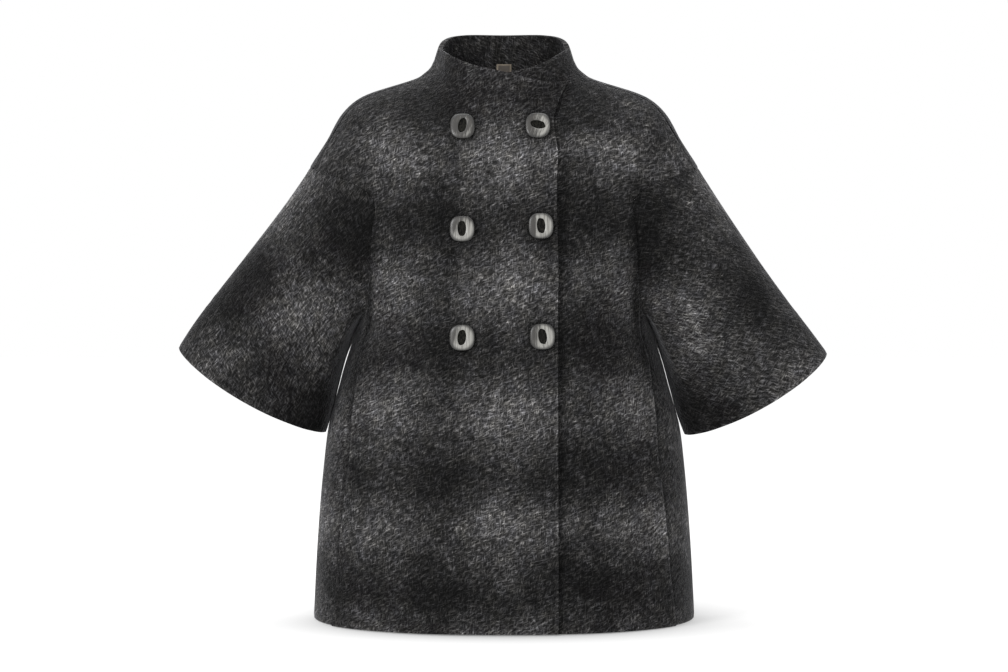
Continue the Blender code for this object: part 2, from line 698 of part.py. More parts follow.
def add_label():
    """The label hangs inside the back, just under the neck seam."""
    outer, inner = [], []
    for i in range(LABEL_ROWS + 1):
        level = LABEL_LEVELS[0] + (LABEL_LEVELS[1] - LABEL_LEVELS[0]) * i / LABEL_ROWS
        half = angle_of_length(LABEL_HALF_WIDTH, 180.0, level)
        out_row, in_row = [], []
        for j in range(LABEL_COLUMNS + 1):
            angle = 180.0 - half + 2.0 * half * j / LABEL_COLUMNS
            place, normal = body_point(angle, level), body_normal(angle, level)
            face = section_at(level).wall + TRIM_GAP
            out_row.append(place - normal * face)
            in_row.append(place - normal * (face + LABEL_THICKNESS))
        outer.append(out_row)
        inner.append(in_row)
    return add_wall("neck_label", outer, inner, WEBBING)


def main():
    """Makes every piece of the coat."""
    clear_scene()
    add_front("front_right", own_side=-1, over=True)
    add_front("front_left", own_side=1, over=False)
    add_side("side_right", -1)
    add_side("side_left", 1)
    add_back()
    add_back_collar()
    add_sleeve_halves(-1, "right", RIGHT_CUFF)
    add_sleeve_halves(1, "left", LEFT_CUFF)
    for button in BUTTONS:
        add_button(button)
    add_label()


main()
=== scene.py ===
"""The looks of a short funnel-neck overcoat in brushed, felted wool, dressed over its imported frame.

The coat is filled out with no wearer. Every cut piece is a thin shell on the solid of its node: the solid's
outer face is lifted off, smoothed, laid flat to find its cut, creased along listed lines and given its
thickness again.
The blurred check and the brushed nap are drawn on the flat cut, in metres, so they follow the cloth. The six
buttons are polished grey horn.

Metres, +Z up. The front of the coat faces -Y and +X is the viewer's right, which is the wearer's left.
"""

import logging
import math
from dataclasses import dataclass, field
from enum import Enum

import bmesh
import bpy
import numpy as np
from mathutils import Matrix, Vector
from mathutils.bvhtree import BVHTree
from mathutils.kdtree import KDTree


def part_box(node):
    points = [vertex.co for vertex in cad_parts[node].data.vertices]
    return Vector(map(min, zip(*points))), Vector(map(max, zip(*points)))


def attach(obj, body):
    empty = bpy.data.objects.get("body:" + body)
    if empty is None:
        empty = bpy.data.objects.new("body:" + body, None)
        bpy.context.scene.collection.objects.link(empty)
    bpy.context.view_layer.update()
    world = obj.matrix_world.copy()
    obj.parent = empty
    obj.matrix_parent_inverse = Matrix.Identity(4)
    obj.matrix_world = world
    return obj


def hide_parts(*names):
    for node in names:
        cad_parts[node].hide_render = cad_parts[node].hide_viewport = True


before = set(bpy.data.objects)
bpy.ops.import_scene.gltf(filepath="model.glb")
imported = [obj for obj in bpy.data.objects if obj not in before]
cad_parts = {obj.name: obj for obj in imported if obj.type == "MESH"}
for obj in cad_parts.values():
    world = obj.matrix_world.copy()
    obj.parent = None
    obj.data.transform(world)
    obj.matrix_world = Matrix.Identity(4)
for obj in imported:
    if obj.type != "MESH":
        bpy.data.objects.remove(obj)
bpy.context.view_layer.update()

Tree, Socket = bpy.types.NodeTree, bpy.types.NodeSocket
LOG = logging.getLogger("overcoat")
BODY = "root"
LABEL_NODE = "neck_label"
CUT_MAP = "cut"  # the UV map that holds each place's coordinates on the flat cut, in metres
WALL = "wall"  # the attribute that holds the way from a place on the outer face through to the inner one
TONE = "tone"  # the attribute that paints highlight along free edges and shade along seams, round buttons and in creases, and adds the blooms' tone
MIX_A, MIX_B, MIXED = 6, 7, 2  # the sockets of a Mix node's two colours and of its result
MM = 0.001
WELD = 0.01 * MM  # corners closer than this are one
FOLDED = math.radians(50.0)  # faces that meet more sharply than this are on different sides of a wall
SEAM_REACH = 1.5 * MM  # an edge that lies this close to another piece is sewn to it
CORNER_PULLS = 4  # how often a rounded mesh's corners are pulled back to their places
CORNER_PULL = 0.9  # and how much of the way each time


# ---- Small tools ------------------------------------------------------------------------------------------


def linear(hex_colour: str) -> tuple[float, float, float, float]:
    """Turns an sRGB hex colour to linear light.

    Args:
        hex_colour: Six hex digits after a hash, such as "#808080".

    Returns:
        Red, green, blue and an alpha of 1.
    """
    parts = [int(hex_colour[i : i + 2], 16) / 255.0 for i in (1, 3, 5)]
    red, green, blue = (c / 12.92 if c <= 0.04045 else ((c + 0.055) / 1.055) ** 2.4 for c in parts)
    return (red, green, blue, 1.0)


def add_node(tree: Tree, kind: str, feeds: dict | tuple = (), out: int | str = 0, **settings) -> Socket:
    """Adds one shader node with its settings and links.

    Args:
        tree: The material's node tree.
        kind: The node's type without its "ShaderNode" prefix, such as "Math".
        feeds: Its inputs' values, or the output sockets linked to them, in order or by name or index.
        out: The output that is wanted, by name or index.
        **settings: The node's own properties.

    Returns:
        That output's socket.
    """
    node = tree.nodes.new("ShaderNode" + kind)
    for name, value in settings.items():
        setattr(node, name, value)
    for key, value in feeds.items() if isinstance(feeds, dict) else enumerate(feeds):
        if isinstance(value, Socket):
            tree.links.new(value, node.inputs[key])
        else:
            node.inputs[key].default_value = value
    return node.outputs[out]


def choose(piece: bpy.types.Object) -> None:
    """Leaves one object selected and active.

    Args:
        piece: That object.
    """
    bpy.ops.object.select_all(action="DESELECT")
    piece.select_set(True)
    bpy.context.view_layer.objects.active = piece


def apply_modifier(piece: bpy.types.Object, kind: str, **settings) -> None:
    """Adds a modifier and applies it.

    Args:
        piece: The object to change.
        kind: The modifier's type, such as "SUBSURF".
        **settings: The modifier's properties.
    """
    choose(piece)
    modifier = piece.modifiers.new(kind.title(), kind)
    for name, value in settings.items():
        setattr(modifier, name, value)
    bpy.ops.object.modifier_apply(modifier=modifier.name)


def vertex_places(mesh: bpy.types.Mesh) -> np.ndarray:
    """Reads where a mesh's vertices are.

    Args:
        mesh: The mesh.

    Returns:
        Their coordinates, one row each.
    """
    flat = np.empty(len(mesh.vertices) * 3, np.float32)
    mesh.vertices.foreach_get("co", flat)
    return flat.reshape(-1, 3).astype(float)


def place_vertices(mesh: bpy.types.Mesh, places: np.ndarray) -> None:
    """Moves every vertex to its place, one row each."""
    mesh.vertices.foreach_set("co", places.astype(np.float32).ravel())
    mesh.update()


def copy_of_node(node: str, name: str) -> bpy.types.Object:
    """Copies a CAD node as a welded mesh of its own.

    Args:
        node: The CAD node's name.
        name: The new object's name.

    Returns:
        The copy, with no material and no split normals.
    """
    piece = bpy.data.objects.new(name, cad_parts[node].data.copy())
    bpy.context.scene.collection.objects.link(piece)
    piece.data.materials.clear()
    choose(piece)
    if piece.data.has_custom_normals:
        bpy.ops.mesh.customdata_custom_splitnormals_clear()
    bpy.ops.object.mode_set(mode="EDIT")
    bpy.ops.mesh.select_all(action="SELECT")
    bpy.ops.mesh.remove_doubles(threshold=WELD)
    bpy.ops.mesh.select_mode(type="FACE")
    bpy.ops.mesh.select_all(action="DESELECT")
    bpy.ops.object.mode_set(mode="OBJECT")
    return piece


def round_through_corners(piece: bpy.types.Object, fineness: int) -> None:
    """Subdivides a mesh smoothly, so that the result still passes through the corners that it had.

    Args:
        piece: The object to change.
        fineness: How many times each face is divided.
    """
    mesh = piece.data
    rounding = piece.modifiers.new("Rounding", "SUBSURF")
    rounding.levels = rounding.render_levels = fineness
    rounding.boundary_smooth = "PRESERVE_CORNERS"
    wanted = vertex_places(mesh)
    cage = wanted.copy()
    for _ in range(CORNER_PULLS):
        bpy.context.view_layer.update()
        rounded = piece.evaluated_get(bpy.context.evaluated_depsgraph_get()).data
        cage += CORNER_PULL * (wanted - vertex_places(rounded)[: len(wanted)])
        place_vertices(mesh, cage)
    choose(piece)
    bpy.ops.object.modifier_apply(modifier=rounding.name)


# ---- Finishes ---------------------------------------------------------------------------------------------


Bands = tuple[tuple[float, float], ...]  # each band's place on the cut, and its tone from -1, dark, to 1

BODY_ROWS: Bands = (
    (-0.880, 0.00), (-0.810, +0.05), (-0.757, -0.46), (-0.720, -0.06), (-0.667, +0.24),
    (-0.595, -0.30), (-0.560, +0.02), (-0.505, +0.30), (-0.423, -0.33), (-0.319, +0.28),
    (-0.228, -0.36), (-0.195, -0.04), (-0.132, +0.34), (-0.050, -0.29), (+0.050, -0.07),
)
BODY_COLUMNS: Bands = (
    (-0.360, +0.12), (-0.270, -0.14), (-0.165, +0.12), (-0.083, -0.20), (-0.040, +0.10), (+0.013, +0.27),
    (+0.060, +0.12), (+0.100, -0.10), (+0.165, +0.10), (+0.270, -0.14), (+0.360, +0.12),
)


@dataclass(frozen=True)
class Finish:
    """A finish. Each kind of finish says how its shader is laid out."""

    name: str

    def shader(self, tree: Tree) -> Socket:
        """Lays the shader's nodes out and returns its socket."""
        raise NotImplementedError

    def material(self) -> bpy.types.Material:
        """Builds the node material.

        Returns:
            The material.
        """
        material = bpy.data.materials.new(self.name)
        material.use_nodes = True
        tree = material.node_tree
        tree.nodes.clear()
        output = tree.nodes.new("ShaderNodeOutputMaterial")
        tree.links.new(self.shader(tree), output.inputs["Surface"])
        return material


@dataclass(frozen=True)
class Check:
    """The blurred check on one cut piece: its bands upwards and across, placed on the cut in metres."""

    rows: Bands = BODY_ROWS
    columns: Bands = BODY_COLUMNS
    lift: float = 0.0  # of the whole piece's tone


@dataclass(frozen=True)
class BrushedWool(Finish):
    """Coating wool, woven in a blurred charcoal check, felted and then brushed one way.

    It is matt and soft, with no thread showing. Tufts of pale hair lie all one way over a near-black ground,
    and the light parts of the check only have more of them.
    """

    check: Check = Check()
    nap_angle: float = 30.0  # of the brushed hair above the cut's crosswise direction, in degrees
    warm: str = "#242321"
    cool: str = "#222224"
    tint_size: float = 10.0 * MM
    sheen: str = "#c8c8cc"
    wander_size: float = 60.0 * MM  # felting makes the bands wander, in wide sweeps
    wander: float = 30.0 * MM
    fray_size: float = 8.0 * MM  # and frays their edges
    fray: float = 12.0 * MM
    blotch_size: float = 16.0 * MM
    blotch: float = 0.75
    tuft_length: float = 5.6 * MM
    tuft_width: float = 1.7 * MM
    tuft_span: tuple[float, float] = (0.26, 0.74)  # the noise between which a tuft rises
    tuft_tone: tuple[float, float] = (-0.5, 0.5)
    tuft_share: float = 1.1
    hair_length: float = 4.4 * MM
    hair_width: float = 1.0 * MM  # a real hair is far finer: this is the finest that shows
    hair_span: tuple[float, float] = (0.40, 0.74)
    hair_tone: tuple[float, float] = (-0.5, 0.75)
    hair_angles: tuple[float, float] = (-12.0, 55.0)  # most hairs' lie off the nap, and some strays'
    bend_size: float = 12.0 * MM  # a brush leaves the nap bent here and there
    bend: float = 3.5 * MM
    relief: float = 0.7 * MM
    contrast: float = 2.2  # turns the bands' steps, read off as seen tone, to steps of linear light
    fleck: float = 1.6
    spark: float = 0.9  # how much brighter than the rest a few stray white hairs are
    spark_span: tuple[float, float] = (0.64, 0.76)
    spark_angle: float = 8.0

    def bands(self, tree: Tree, along: Socket, bands: Bands) -> Socket:
        """The check's tone in one direction.

        Args:
            tree: The material's nodes.
            along: The coordinate across the bands, in metres.
            bands: The bands, from the lowest place to the highest.

        Returns:
            The tone's socket, from -1 to 1.
        """
        low, high = bands[0][0], bands[-1][0]
        share = add_node(tree, "MapRange", (along, low, high))
        ramp = add_node(tree, "ValToRGB", (share,))
        ramp.node.color_ramp.interpolation = "EASE"
        stops = ramp.node.color_ramp.elements
        while len(stops) < len(bands):
            stops.new(0.5)
        for stop, (place, tone) in zip(stops, bands):
            stop.position = (place - low) / (high - low)
            value = (tone + 1.0) / 2.0
            stop.color = (value, value, value, 1.0)
        return add_node(tree, "Math", (ramp, 2.0, -1.0), operation="MULTIPLY_ADD")

    def noise(self, tree: Tree, place: Socket, size: float, detail: float = 2.0) -> Socket:
        """Soft blotches of a size in metres, as a value around one half."""
        feeds = {"Vector": place, "Scale": 0.5 / size, "Detail": detail, "Roughness": 0.6}
        return add_node(tree, "TexNoise", feeds, noise_dimensions="2D")

    def strokes(self, tree: Tree, place: Socket, size: tuple[float, float], angle: float) -> Socket:
        """Short brushed strokes along the nap.

        Args:
            tree: The material's nodes.
            place: The cut coordinates.
            size: A stroke's length and width.
            angle: The strokes' angle above the crosswise direction, in degrees.

        Returns:
            The socket of a value around one half.
        """
        turn = (0.0, 0.0, -math.radians(angle))
        turned = add_node(tree, "Mapping", {"Vector": place, "Rotation": turn})
        scale = (0.5 / size[0], 0.5 / size[1], 1.0)
        apart = (angle, 0.0, 0.0)  # strokes at other angles are other strokes
        stretched = add_node(tree, "Mapping", {"Vector": turned, "Scale": scale, "Location": apart})
        feeds = {"Vector": stretched, "Scale": 1.0, "Detail": 2.5, "Roughness": 0.6}
        return add_node(tree, "TexNoise", feeds, noise_dimensions="2D")

    def wandered(self, tree: Tree, place: Socket, size: float, reach: float) -> Socket:
        """The cut coordinates, pushed about at random.

        Args:
            tree: The material's nodes.
            place: The cut coordinates.
            size: The size of the wanderings.
            reach: How far they reach, from end to end.

        Returns:
            The pushed coordinates' socket.
        """
        drift = self.noise(tree, place, size).node.outputs["Color"]
        middle = add_node(tree, "VectorMath", (drift, (0.5, 0.5, 0.5)), operation="SUBTRACT")
        feeds = (middle, (2.0 * reach, 2.0 * reach, 0.0), place)
        return add_node(tree, "VectorMath", feeds, operation="MULTIPLY_ADD")

    def tone(self, tree: Tree, cut: Socket) -> Socket:
        """The check's light and dark, with no edge, because felting blurs it.

        Args:
            tree: The material's nodes.
            cut: The cut coordinates.

        Returns:
            The tone's socket.
        """
        place = self.wandered(tree, cut, self.wander_size, self.wander)
        place = self.wandered(tree, place, self.fray_size, self.fray)
        apart = add_node(tree, "SeparateXYZ", (place,)).node.outputs
        rows = self.bands(tree, apart["Y"], self.check.rows)
        columns = self.bands(tree, apart["X"], self.check.columns)
        bands = add_node(tree, "Math", (rows, columns), operation="ADD")
        blotches = self.noise(tree, cut, self.blotch_size, 3.0)
        feeds = (blotches, self.blotch, -self.blotch / 2.0)
        blotches = add_node(tree, "Math", feeds, operation="MULTIPLY_ADD")
        return add_node(tree, "Math", (bands, blotches), operation="ADD")

    def nap(self, tree: Tree, brushed: Socket) -> Socket:
        """The nap: broad tufts with finer hair between them.

        Args:
            tree: The material's nodes.
            brushed: The cut coordinates, bent as a brush bends the nap.

        Returns:
            The socket of its height, which is its tone too.
        """
        tufts = self.strokes(tree, brushed, (self.tuft_length, self.tuft_width), self.nap_angle)
        size = (self.hair_length, self.hair_width)
        hairs, strays = (self.strokes(tree, brushed, size, self.nap_angle + off) for off in self.hair_angles)
        hairs = add_node(tree, "Math", (hairs, strays), operation="MAXIMUM")
        feeds = (hairs, *self.hair_span, *self.hair_tone)
        hairs = add_node(tree, "MapRange", feeds, interpolation_type="SMOOTHSTEP")
        tufts = add_node(tree, "MapRange", (tufts, *self.tuft_span, *self.tuft_tone))
        return add_node(tree, "Math", (tufts, self.tuft_share, hairs), operation="MULTIPLY_ADD")

    def shader(self, tree: Tree) -> Socket:
        """Args:
            tree: The material's nodes.

        Returns:
            The shader's socket.
        """
        cut = add_node(tree, "UVMap", uv_map=CUT_MAP)
        brushed = self.wandered(tree, cut, self.bend_size, self.bend)
        nap = self.nap(tree, brushed)
        feeds = (self.tone(tree, cut), self.contrast, self.contrast * self.check.lift)
        light = add_node(tree, "Math", feeds, operation="MULTIPLY_ADD")
        light = add_node(tree, "Math", (nap, self.fleck, light), operation="MULTIPLY_ADD")
        # painted highlight along free edges, painted shade along seams, round buttons and in creases, and the
        # blooms' tone
        painted_light_and_tone = add_node(tree, "Attribute", out="Fac", attribute_name=TONE)
        light = add_node(tree, "Math", (light, painted_light_and_tone), operation="ADD")
        angle = self.nap_angle + self.spark_angle
        sparks = self.strokes(tree, brushed, (self.tuft_length, self.hair_width), angle)
        sparks = add_node(tree, "MapRange", (sparks, *self.spark_span, 0.0, self.spark))
        light = add_node(tree, "Math", (light, sparks), operation="ADD")
        light = add_node(tree, "Math", (light,), operation="EXPONENT")
        feeds = {0: self.noise(tree, cut, self.tint_size), MIX_A: linear(self.warm), MIX_B: linear(self.cool)}
        tint = add_node(tree, "Mix", feeds, out=MIXED, data_type="RGBA")
        feeds = {
            "Base Color": add_node(tree, "VectorMath", {0: tint, "Scale": light}, operation="SCALE"),
            "Roughness": 0.95,
            "Specular IOR Level": 0.10,
            "Sheen Weight": 0.30,
            "Sheen Roughness": 0.3,
            "Sheen Tint": linear(self.sheen),
            "Normal": add_node(tree, "Bump", {"Strength": 0.6, "Distance": self.relief, "Height": nap}),
        }
        return add_node(tree, "BsdfPrincipled", feeds)


# the inner faces: the same wool with its tone lowered, as painted shade inside the coat
SHADED_WOOL_INSIDE = BrushedWool("wool_inside_shaded", Check(lift=-0.15))


@dataclass(frozen=True)
class ButtonLook:
    """How one button's horn, and the light and shade painted on it, differ from the others'."""

    node: str
    grain_angle: float  # of the streaks from the upright, clockwise from in front, in degrees
    lit_side: float  # the direction in which the painted highlight lies, anticlockwise from the viewer's right
    split: float  # where the painted shade turns to painted highlight, in half buttons from the centre
    softness: float  # half the width of that change, in half buttons
    shade: float


@dataclass(frozen=True)
class GreyHorn(Finish):
    """Buffalo horn, sawn, turned and polished: streaked along its grain, a little clear, softly glossy."""

    centre: tuple[float, float, float]
    look: ButtonLook
    pale: str = "#94938e"
    dark: str = "#33312e"
    brown: str = "#474239"
    brown_finer: float = 0.6  # the brown clouds' fineness, against the streaks'
    brown_span: tuple[float, float] = (0.56, 0.72)
    brown_share: float = 0.5
    # painted shade on the turned edge, where it rounds away
    edge: str = "#1b1a18"
    edge_shade_span: tuple[float, float] = (0.77, 1.06)  # where the painted shade darkens the turned edge, in half buttons
    edge_shade_share: float = 0.95
    painted_light_tone: tuple[float, float] = (-0.10, 0.95)  # the pale share in the painted shade and in the painted highlight
    streak: float = 2.0 * MM
    streak_finer: tuple[float, float, float] = (1.0, 0.3, 0.06)  # across the grain, into it and along it
    streak_span: tuple[float, float] = (0.34, 0.64)
    streak_tone: tuple[float, float] = (-0.72, 0.38)
    half_size: float = 17.5 * MM

    def shader(self, tree: Tree) -> Socket:
        """Lays out streaked horn, with a painted highlight to one side and painted shade round its turned
        edge.

        Args:
            tree: The material's nodes.

        Returns:
            The shader's socket.
        """
        place = add_node(tree, "TexCoord", out="Object")
        centred = add_node(tree, "VectorMath", (place, self.centre), operation="SUBTRACT")
        turn = (0.0, -math.radians(self.look.grain_angle), 0.0)
        turned = add_node(tree, "Mapping", {"Vector": centred, "Rotation": turn})
        scale = tuple(finer / self.streak for finer in self.streak_finer)
        grain = add_node(tree, "Mapping", {"Vector": turned, "Scale": scale, "Location": self.centre})
        feeds = {"Vector": grain, "Scale": 1.0, "Detail": 4.0, "Roughness": 0.62, "Distortion": 0.2}
        streaks = add_node(tree, "TexNoise", feeds)
        # painted light: the horn grows paler towards its lit side
        side = math.radians(self.look.lit_side)
        towards = (math.cos(side) / self.half_size, 0.0, math.sin(side) / self.half_size)
        across = add_node(tree, "VectorMath", (centred, towards), out="Value", operation="DOT_PRODUCT")
        split, softness = self.look.split, self.look.softness
        feeds = (across, split - softness, split + softness, *self.painted_light_tone)
        lit_share = add_node(tree, "MapRange", feeds, interpolation_type="SMOOTHSTEP")
        veins = add_node(tree, "MapRange", (streaks, *self.streak_span, *self.streak_tone))
        share = add_node(tree, "Math", (lit_share, veins), operation="ADD", use_clamp=True)
        feeds = {0: share, MIX_A: linear(self.dark), MIX_B: linear(self.pale)}
        colour = add_node(tree, "Mix", feeds, out=MIXED, data_type="RGBA")
        feeds = {"Vector": grain, "Scale": self.brown_finer, "Detail": 2.0}
        clouds = add_node(tree, "TexNoise", feeds)
        clouds = add_node(tree, "MapRange", (clouds, *self.brown_span, 0.0, self.brown_share))
        feeds = {0: clouds, MIX_A: colour, MIX_B: linear(self.brown)}
        colour = add_node(tree, "Mix", feeds, out=MIXED, data_type="RGBA")
        colour = add_node(tree, "VectorMath", {0: colour, "Scale": self.look.shade}, operation="SCALE")
        # painted shade round the turned edge
        shares = (1.0 / self.half_size, 0.0, 1.0 / self.half_size)
        spread = add_node(tree, "VectorMath", (centred, shares), operation="MULTIPLY")
        outwards = add_node(tree, "VectorMath", (spread,), out="Value", operation="LENGTH")
        feeds = (outwards, *self.edge_shade_span, 0.0, self.edge_shade_share)
        rim_shade = add_node(tree, "MapRange", feeds, interpolation_type="SMOOTHSTEP")
        feeds = {0: rim_shade, MIX_A: colour, MIX_B: linear(self.edge)}
        feeds = {
            "Base Color": add_node(tree, "Mix", feeds, out=MIXED, data_type="RGBA"),
            "Roughness": 0.42,
            "IOR": 1.54,
            "Coat Weight": 0.1,
            "Coat Roughness": 0.2,
            "Normal": add_node(tree, "Bump", {"Strength": 0.3, "Distance": 0.2 * MM, "Height": streaks}),
        }
        return add_node(tree, "BsdfPrincipled", feeds)


@dataclass(frozen=True)
class WoundThread(Finish):
    """Waxed charcoal button thread, wound close in the recess of a button, soft and fuzzy."""

    name: str = "wound_thread"
    lit: str = "#24231f"
    # the strands beneath, in painted shade
    deep: str = "#080808"
    size: float = 0.9 * MM
    lengthwise: float = 0.4  # how much coarser the strands are along than across
    span: tuple[float, float] = (0.38, 0.66)

    def shader(self, tree: Tree) -> Socket:
        """Lays out lit strands over deep ones.

        Args:
            tree: The material's nodes.

        Returns:
            The shader's socket.
        """
        place = add_node(tree, "TexCoord", out="Object")
        strands = add_node(tree, "Mapping", {"Vector": place, "Scale": (1.0, 1.0, self.lengthwise)})
        feeds = {"Vector": strands, "Scale": 0.5 / self.size, "Detail": 3.0, "Roughness": 0.6}
        fuzz = add_node(tree, "TexNoise", feeds)
        share = add_node(tree, "MapRange", (fuzz, *self.span))
        # painted shade on the deep strands between the lit ones
        feeds = {0: share, MIX_A: linear(self.deep), MIX_B: linear(self.lit)}
        feeds = {
            "Base Color": add_node(tree, "Mix", feeds, out=MIXED, data_type="RGBA"),
            "Roughness": 0.9,
            "Specular IOR Level": 0.1,
            "Normal": add_node(tree, "Bump", {"Strength": 0.8, "Distance": 0.5 * MM, "Height": fuzz}),
        }
        return add_node(tree, "BsdfPrincipled", feeds)


@dataclass(frozen=True)
class WovenTape(Finish):
    """A bare woven label in taupe polyester satin: fine ribs across, a slight sheen, paler folded edges."""

    low: tuple[float, float, float]
    high: tuple[float, float, float]
    yarn: str = "#584f46"
    fold: str = "#a0937f"
    gap: str = "#332e29"
    rib: float = 0.9 * MM  # a real rib is half of this, which would not show
    fold_span: tuple[float, float] = (0.72, 0.82)  # where the folded edge starts, from the label's middle

    def shader(self, tree: Tree) -> Socket:
        """Lays out ribs with dark gaps, and the paler fold all round.

        Args:
            tree: The material's nodes.

        Returns:
            The shader's socket.
        """
        place = add_node(tree, "TexCoord", out="Object")
        feeds = {"Vector": place, "Scale": 1.0 / (self.rib * math.pi), "Distortion": 0.6, "Detail": 2.0}
        ribs = add_node(tree, "TexWave", feeds, out="Fac", wave_type="BANDS", bands_direction="Z")
        middle = tuple((a + b) / 2.0 for a, b in zip(self.low, self.high))
        reach = (2.0 / (self.high[0] - self.low[0]), 0.0, 2.0 / (self.high[2] - self.low[2]))
        centred = add_node(tree, "VectorMath", (place, middle), operation="SUBTRACT")
        centred = add_node(tree, "VectorMath", (centred, reach), operation="MULTIPLY")
        centred = add_node(tree, "VectorMath", (centred,), operation="ABSOLUTE")
        sides = add_node(tree, "SeparateXYZ", (centred,)).node.outputs
        outwards = add_node(tree, "Math", (sides["X"], sides["Z"]), operation="MAXIMUM")
        folded = add_node(tree, "MapRange", (outwards, *self.fold_span))
        feeds = {0: folded, MIX_A: linear(self.yarn), MIX_B: linear(self.fold)}
        yarn = add_node(tree, "Mix", feeds, out=MIXED, data_type="RGBA")
        feeds = {0: ribs, MIX_A: linear(self.gap), MIX_B: yarn}
        feeds = {
            "Base Color": add_node(tree, "Mix", feeds, out=MIXED, data_type="RGBA"),
            "Roughness": 0.6,
            "Sheen Weight": 0.2,
            "Normal": add_node(tree, "Bump", {"Strength": 0.5, "Distance": 0.3 * MM, "Height": ribs}),
        }
        return add_node(tree, "BsdfPrincipled", feeds)


@dataclass(frozen=True)
class PaleFloor(Finish):
    """Matt white paper, laid out under the coat, with a soft shadow painted round its hem."""

    name: str = "pale_paper"
    colour: str = "#c4c4c4"
    glow: float = 0.50  # the paper is lit from below too, so it stays white to its edges
    hem_reach: tuple[float, float] = (0.280, 0.185)  # half the hem's width and depth
    shade: float = 0.60  # how deep the painted shadow is right before the hem
    # the painted shadow's depth at the hem's sides
    side_shade: float = 0.12
    fall: float = 5.2  # how fast that fades, in e-folds for each hem reach

    def shader(self, tree: Tree) -> Socket:
        """Lays out white paper with a painted shadow that darkens it towards the hem.

        Args:
            tree: The material's nodes.

        Returns:
            The shader's socket.
        """
        # a painted shadow round the hem, deepest right before it and fading outwards
        place = add_node(tree, "TexCoord", out="Object")
        shares = (1.0 / self.hem_reach[0], 1.0 / self.hem_reach[1], 0.0)
        spread = add_node(tree, "VectorMath", (place, shares), operation="MULTIPLY")
        away = add_node(tree, "VectorMath", (spread,), out="Value", operation="LENGTH")
        away = add_node(tree, "Math", (away, -self.fall, self.fall), operation="MULTIPLY_ADD")
        fading = add_node(tree, "Math", (away,), operation="EXPONENT")
        forward = add_node(tree, "SeparateXYZ", (spread,), out="Y")
        deepest = add_node(tree, "MapRange", (forward, 0.0, -1.0, self.side_shade, self.shade))
        shade = add_node(tree, "Math", (fading, deepest), operation="MULTIPLY", use_clamp=True)
        unshaded = add_node(tree, "Math", (1.0, shade), operation="SUBTRACT")
        feeds = {0: linear(self.colour)[:3], "Scale": unshaded}
        feeds = {
            "Base Color": add_node(tree, "VectorMath", feeds, operation="SCALE"),
            "Roughness": 0.9,
            "Specular IOR Level": 0.0,
            "Emission Color": (1.0, 1.0, 1.0, 1.0),
            "Emission Strength": add_node(tree, "Math", (unshaded, self.glow), operation="MULTIPLY"),
        }
        return add_node(tree, "BsdfPrincipled", feeds)


# ---- Cut pieces -------------------------------------------------------------------------------------------


SLOPE_COS, SLOPE_SIN = 0.914, 0.407  # of the 24 degrees by which the sleeves' seams over the arm slope


class Facing(Enum):
    """The side from which a cut piece is seen flat: its crosswise and its upward direction in the coat."""

    FRONT = ((1.0, 0.0, 0.0), (0.0, 0.0, 1.0))
    BACK = ((-1.0, 0.0, 0.0), (0.0, 0.0, 1.0))
    LEFT = ((0.0, 1.0, 0.0), (0.0, 0.0, 1.0))
    RIGHT = ((0.0, -1.0, 0.0), (0.0, 0.0, 1.0))
    LEFT_SLEEVE_FRONT = ((SLOPE_COS, 0.0, -SLOPE_SIN), (SLOPE_SIN, 0.0, SLOPE_COS))
    LEFT_SLEEVE_BACK = ((-SLOPE_COS, 0.0, SLOPE_SIN), (SLOPE_SIN, 0.0, SLOPE_COS))
    RIGHT_SLEEVE_FRONT = ((SLOPE_COS, 0.0, SLOPE_SIN), (-SLOPE_SIN, 0.0, SLOPE_COS))
    RIGHT_SLEEVE_BACK = ((-SLOPE_COS, 0.0, -SLOPE_SIN), (-SLOPE_SIN, 0.0, SLOPE_COS))


@dataclass(frozen=True)
class Cut:
    """A piece's size as cut, laid flat: its bounding width and length, and its area."""

    width: float
    length: float
    area: float


@dataclass(frozen=True)
class Crease:
    """A soft trough, or a ridge where depth is negative, drawn as a line of places on the flat cut."""

    line: tuple[tuple[float, float], ...]
    width_mm: float
    depth_mm: float
    tone: float = 0.0  # painted shade along it, and painted highlight where it is positive
    blunt: float = 0.07  # it stops this share of its length short of fading to nothing
    fullness: float = 0.8  # below 1 it is full for more of its length

    def shares(self, flat: np.ndarray) -> np.ndarray:
        """How fully each point of the cloth lies in the crease.

        Args:
            flat: The points' places on the cut, one row each.

        Returns:
            One share for each point, from 0 to 1.
        """
        points = np.array(self.line)
        steps = np.linalg.norm(np.diff(points, axis=0), axis=1)
        run = np.concatenate([[0.0], np.cumsum(steps)]) / steps.sum()
        best = np.full(len(flat), np.inf)
        at = np.zeros(len(flat))
        for start, end, first, last in zip(points, points[1:], run, run[1:]):
            along = end - start
            share = np.clip((flat - start) @ along / (along @ along), 0.0, 1.0)
            away = np.linalg.norm(flat - (start + share[:, None] * along), axis=1)
            nearer = away < best
            best = np.where(nearer, away, best)
            at = np.where(nearer, first + share * (last - first), at)
        ends = np.sin(np.pi * (self.blunt + at * (1.0 - 2.0 * self.blunt))) ** self.fullness
        return ends * np.exp(-((best / (self.width_mm * MM)) ** 2))


# a soft patch of tone on the cut: partly the check's own uneven tone, partly painted light and shade, as
# under the arms
@dataclass(frozen=True)
class Bloom:
    place: tuple[float, float]
    reach: tuple[float, float]  # across and upwards
    tone: float

    def tones(self, flat: np.ndarray) -> np.ndarray:
        """The step of tone at each place on the cut."""
        return self.tone * np.exp(-((((flat - self.place) / self.reach) ** 2).sum(axis=1)))


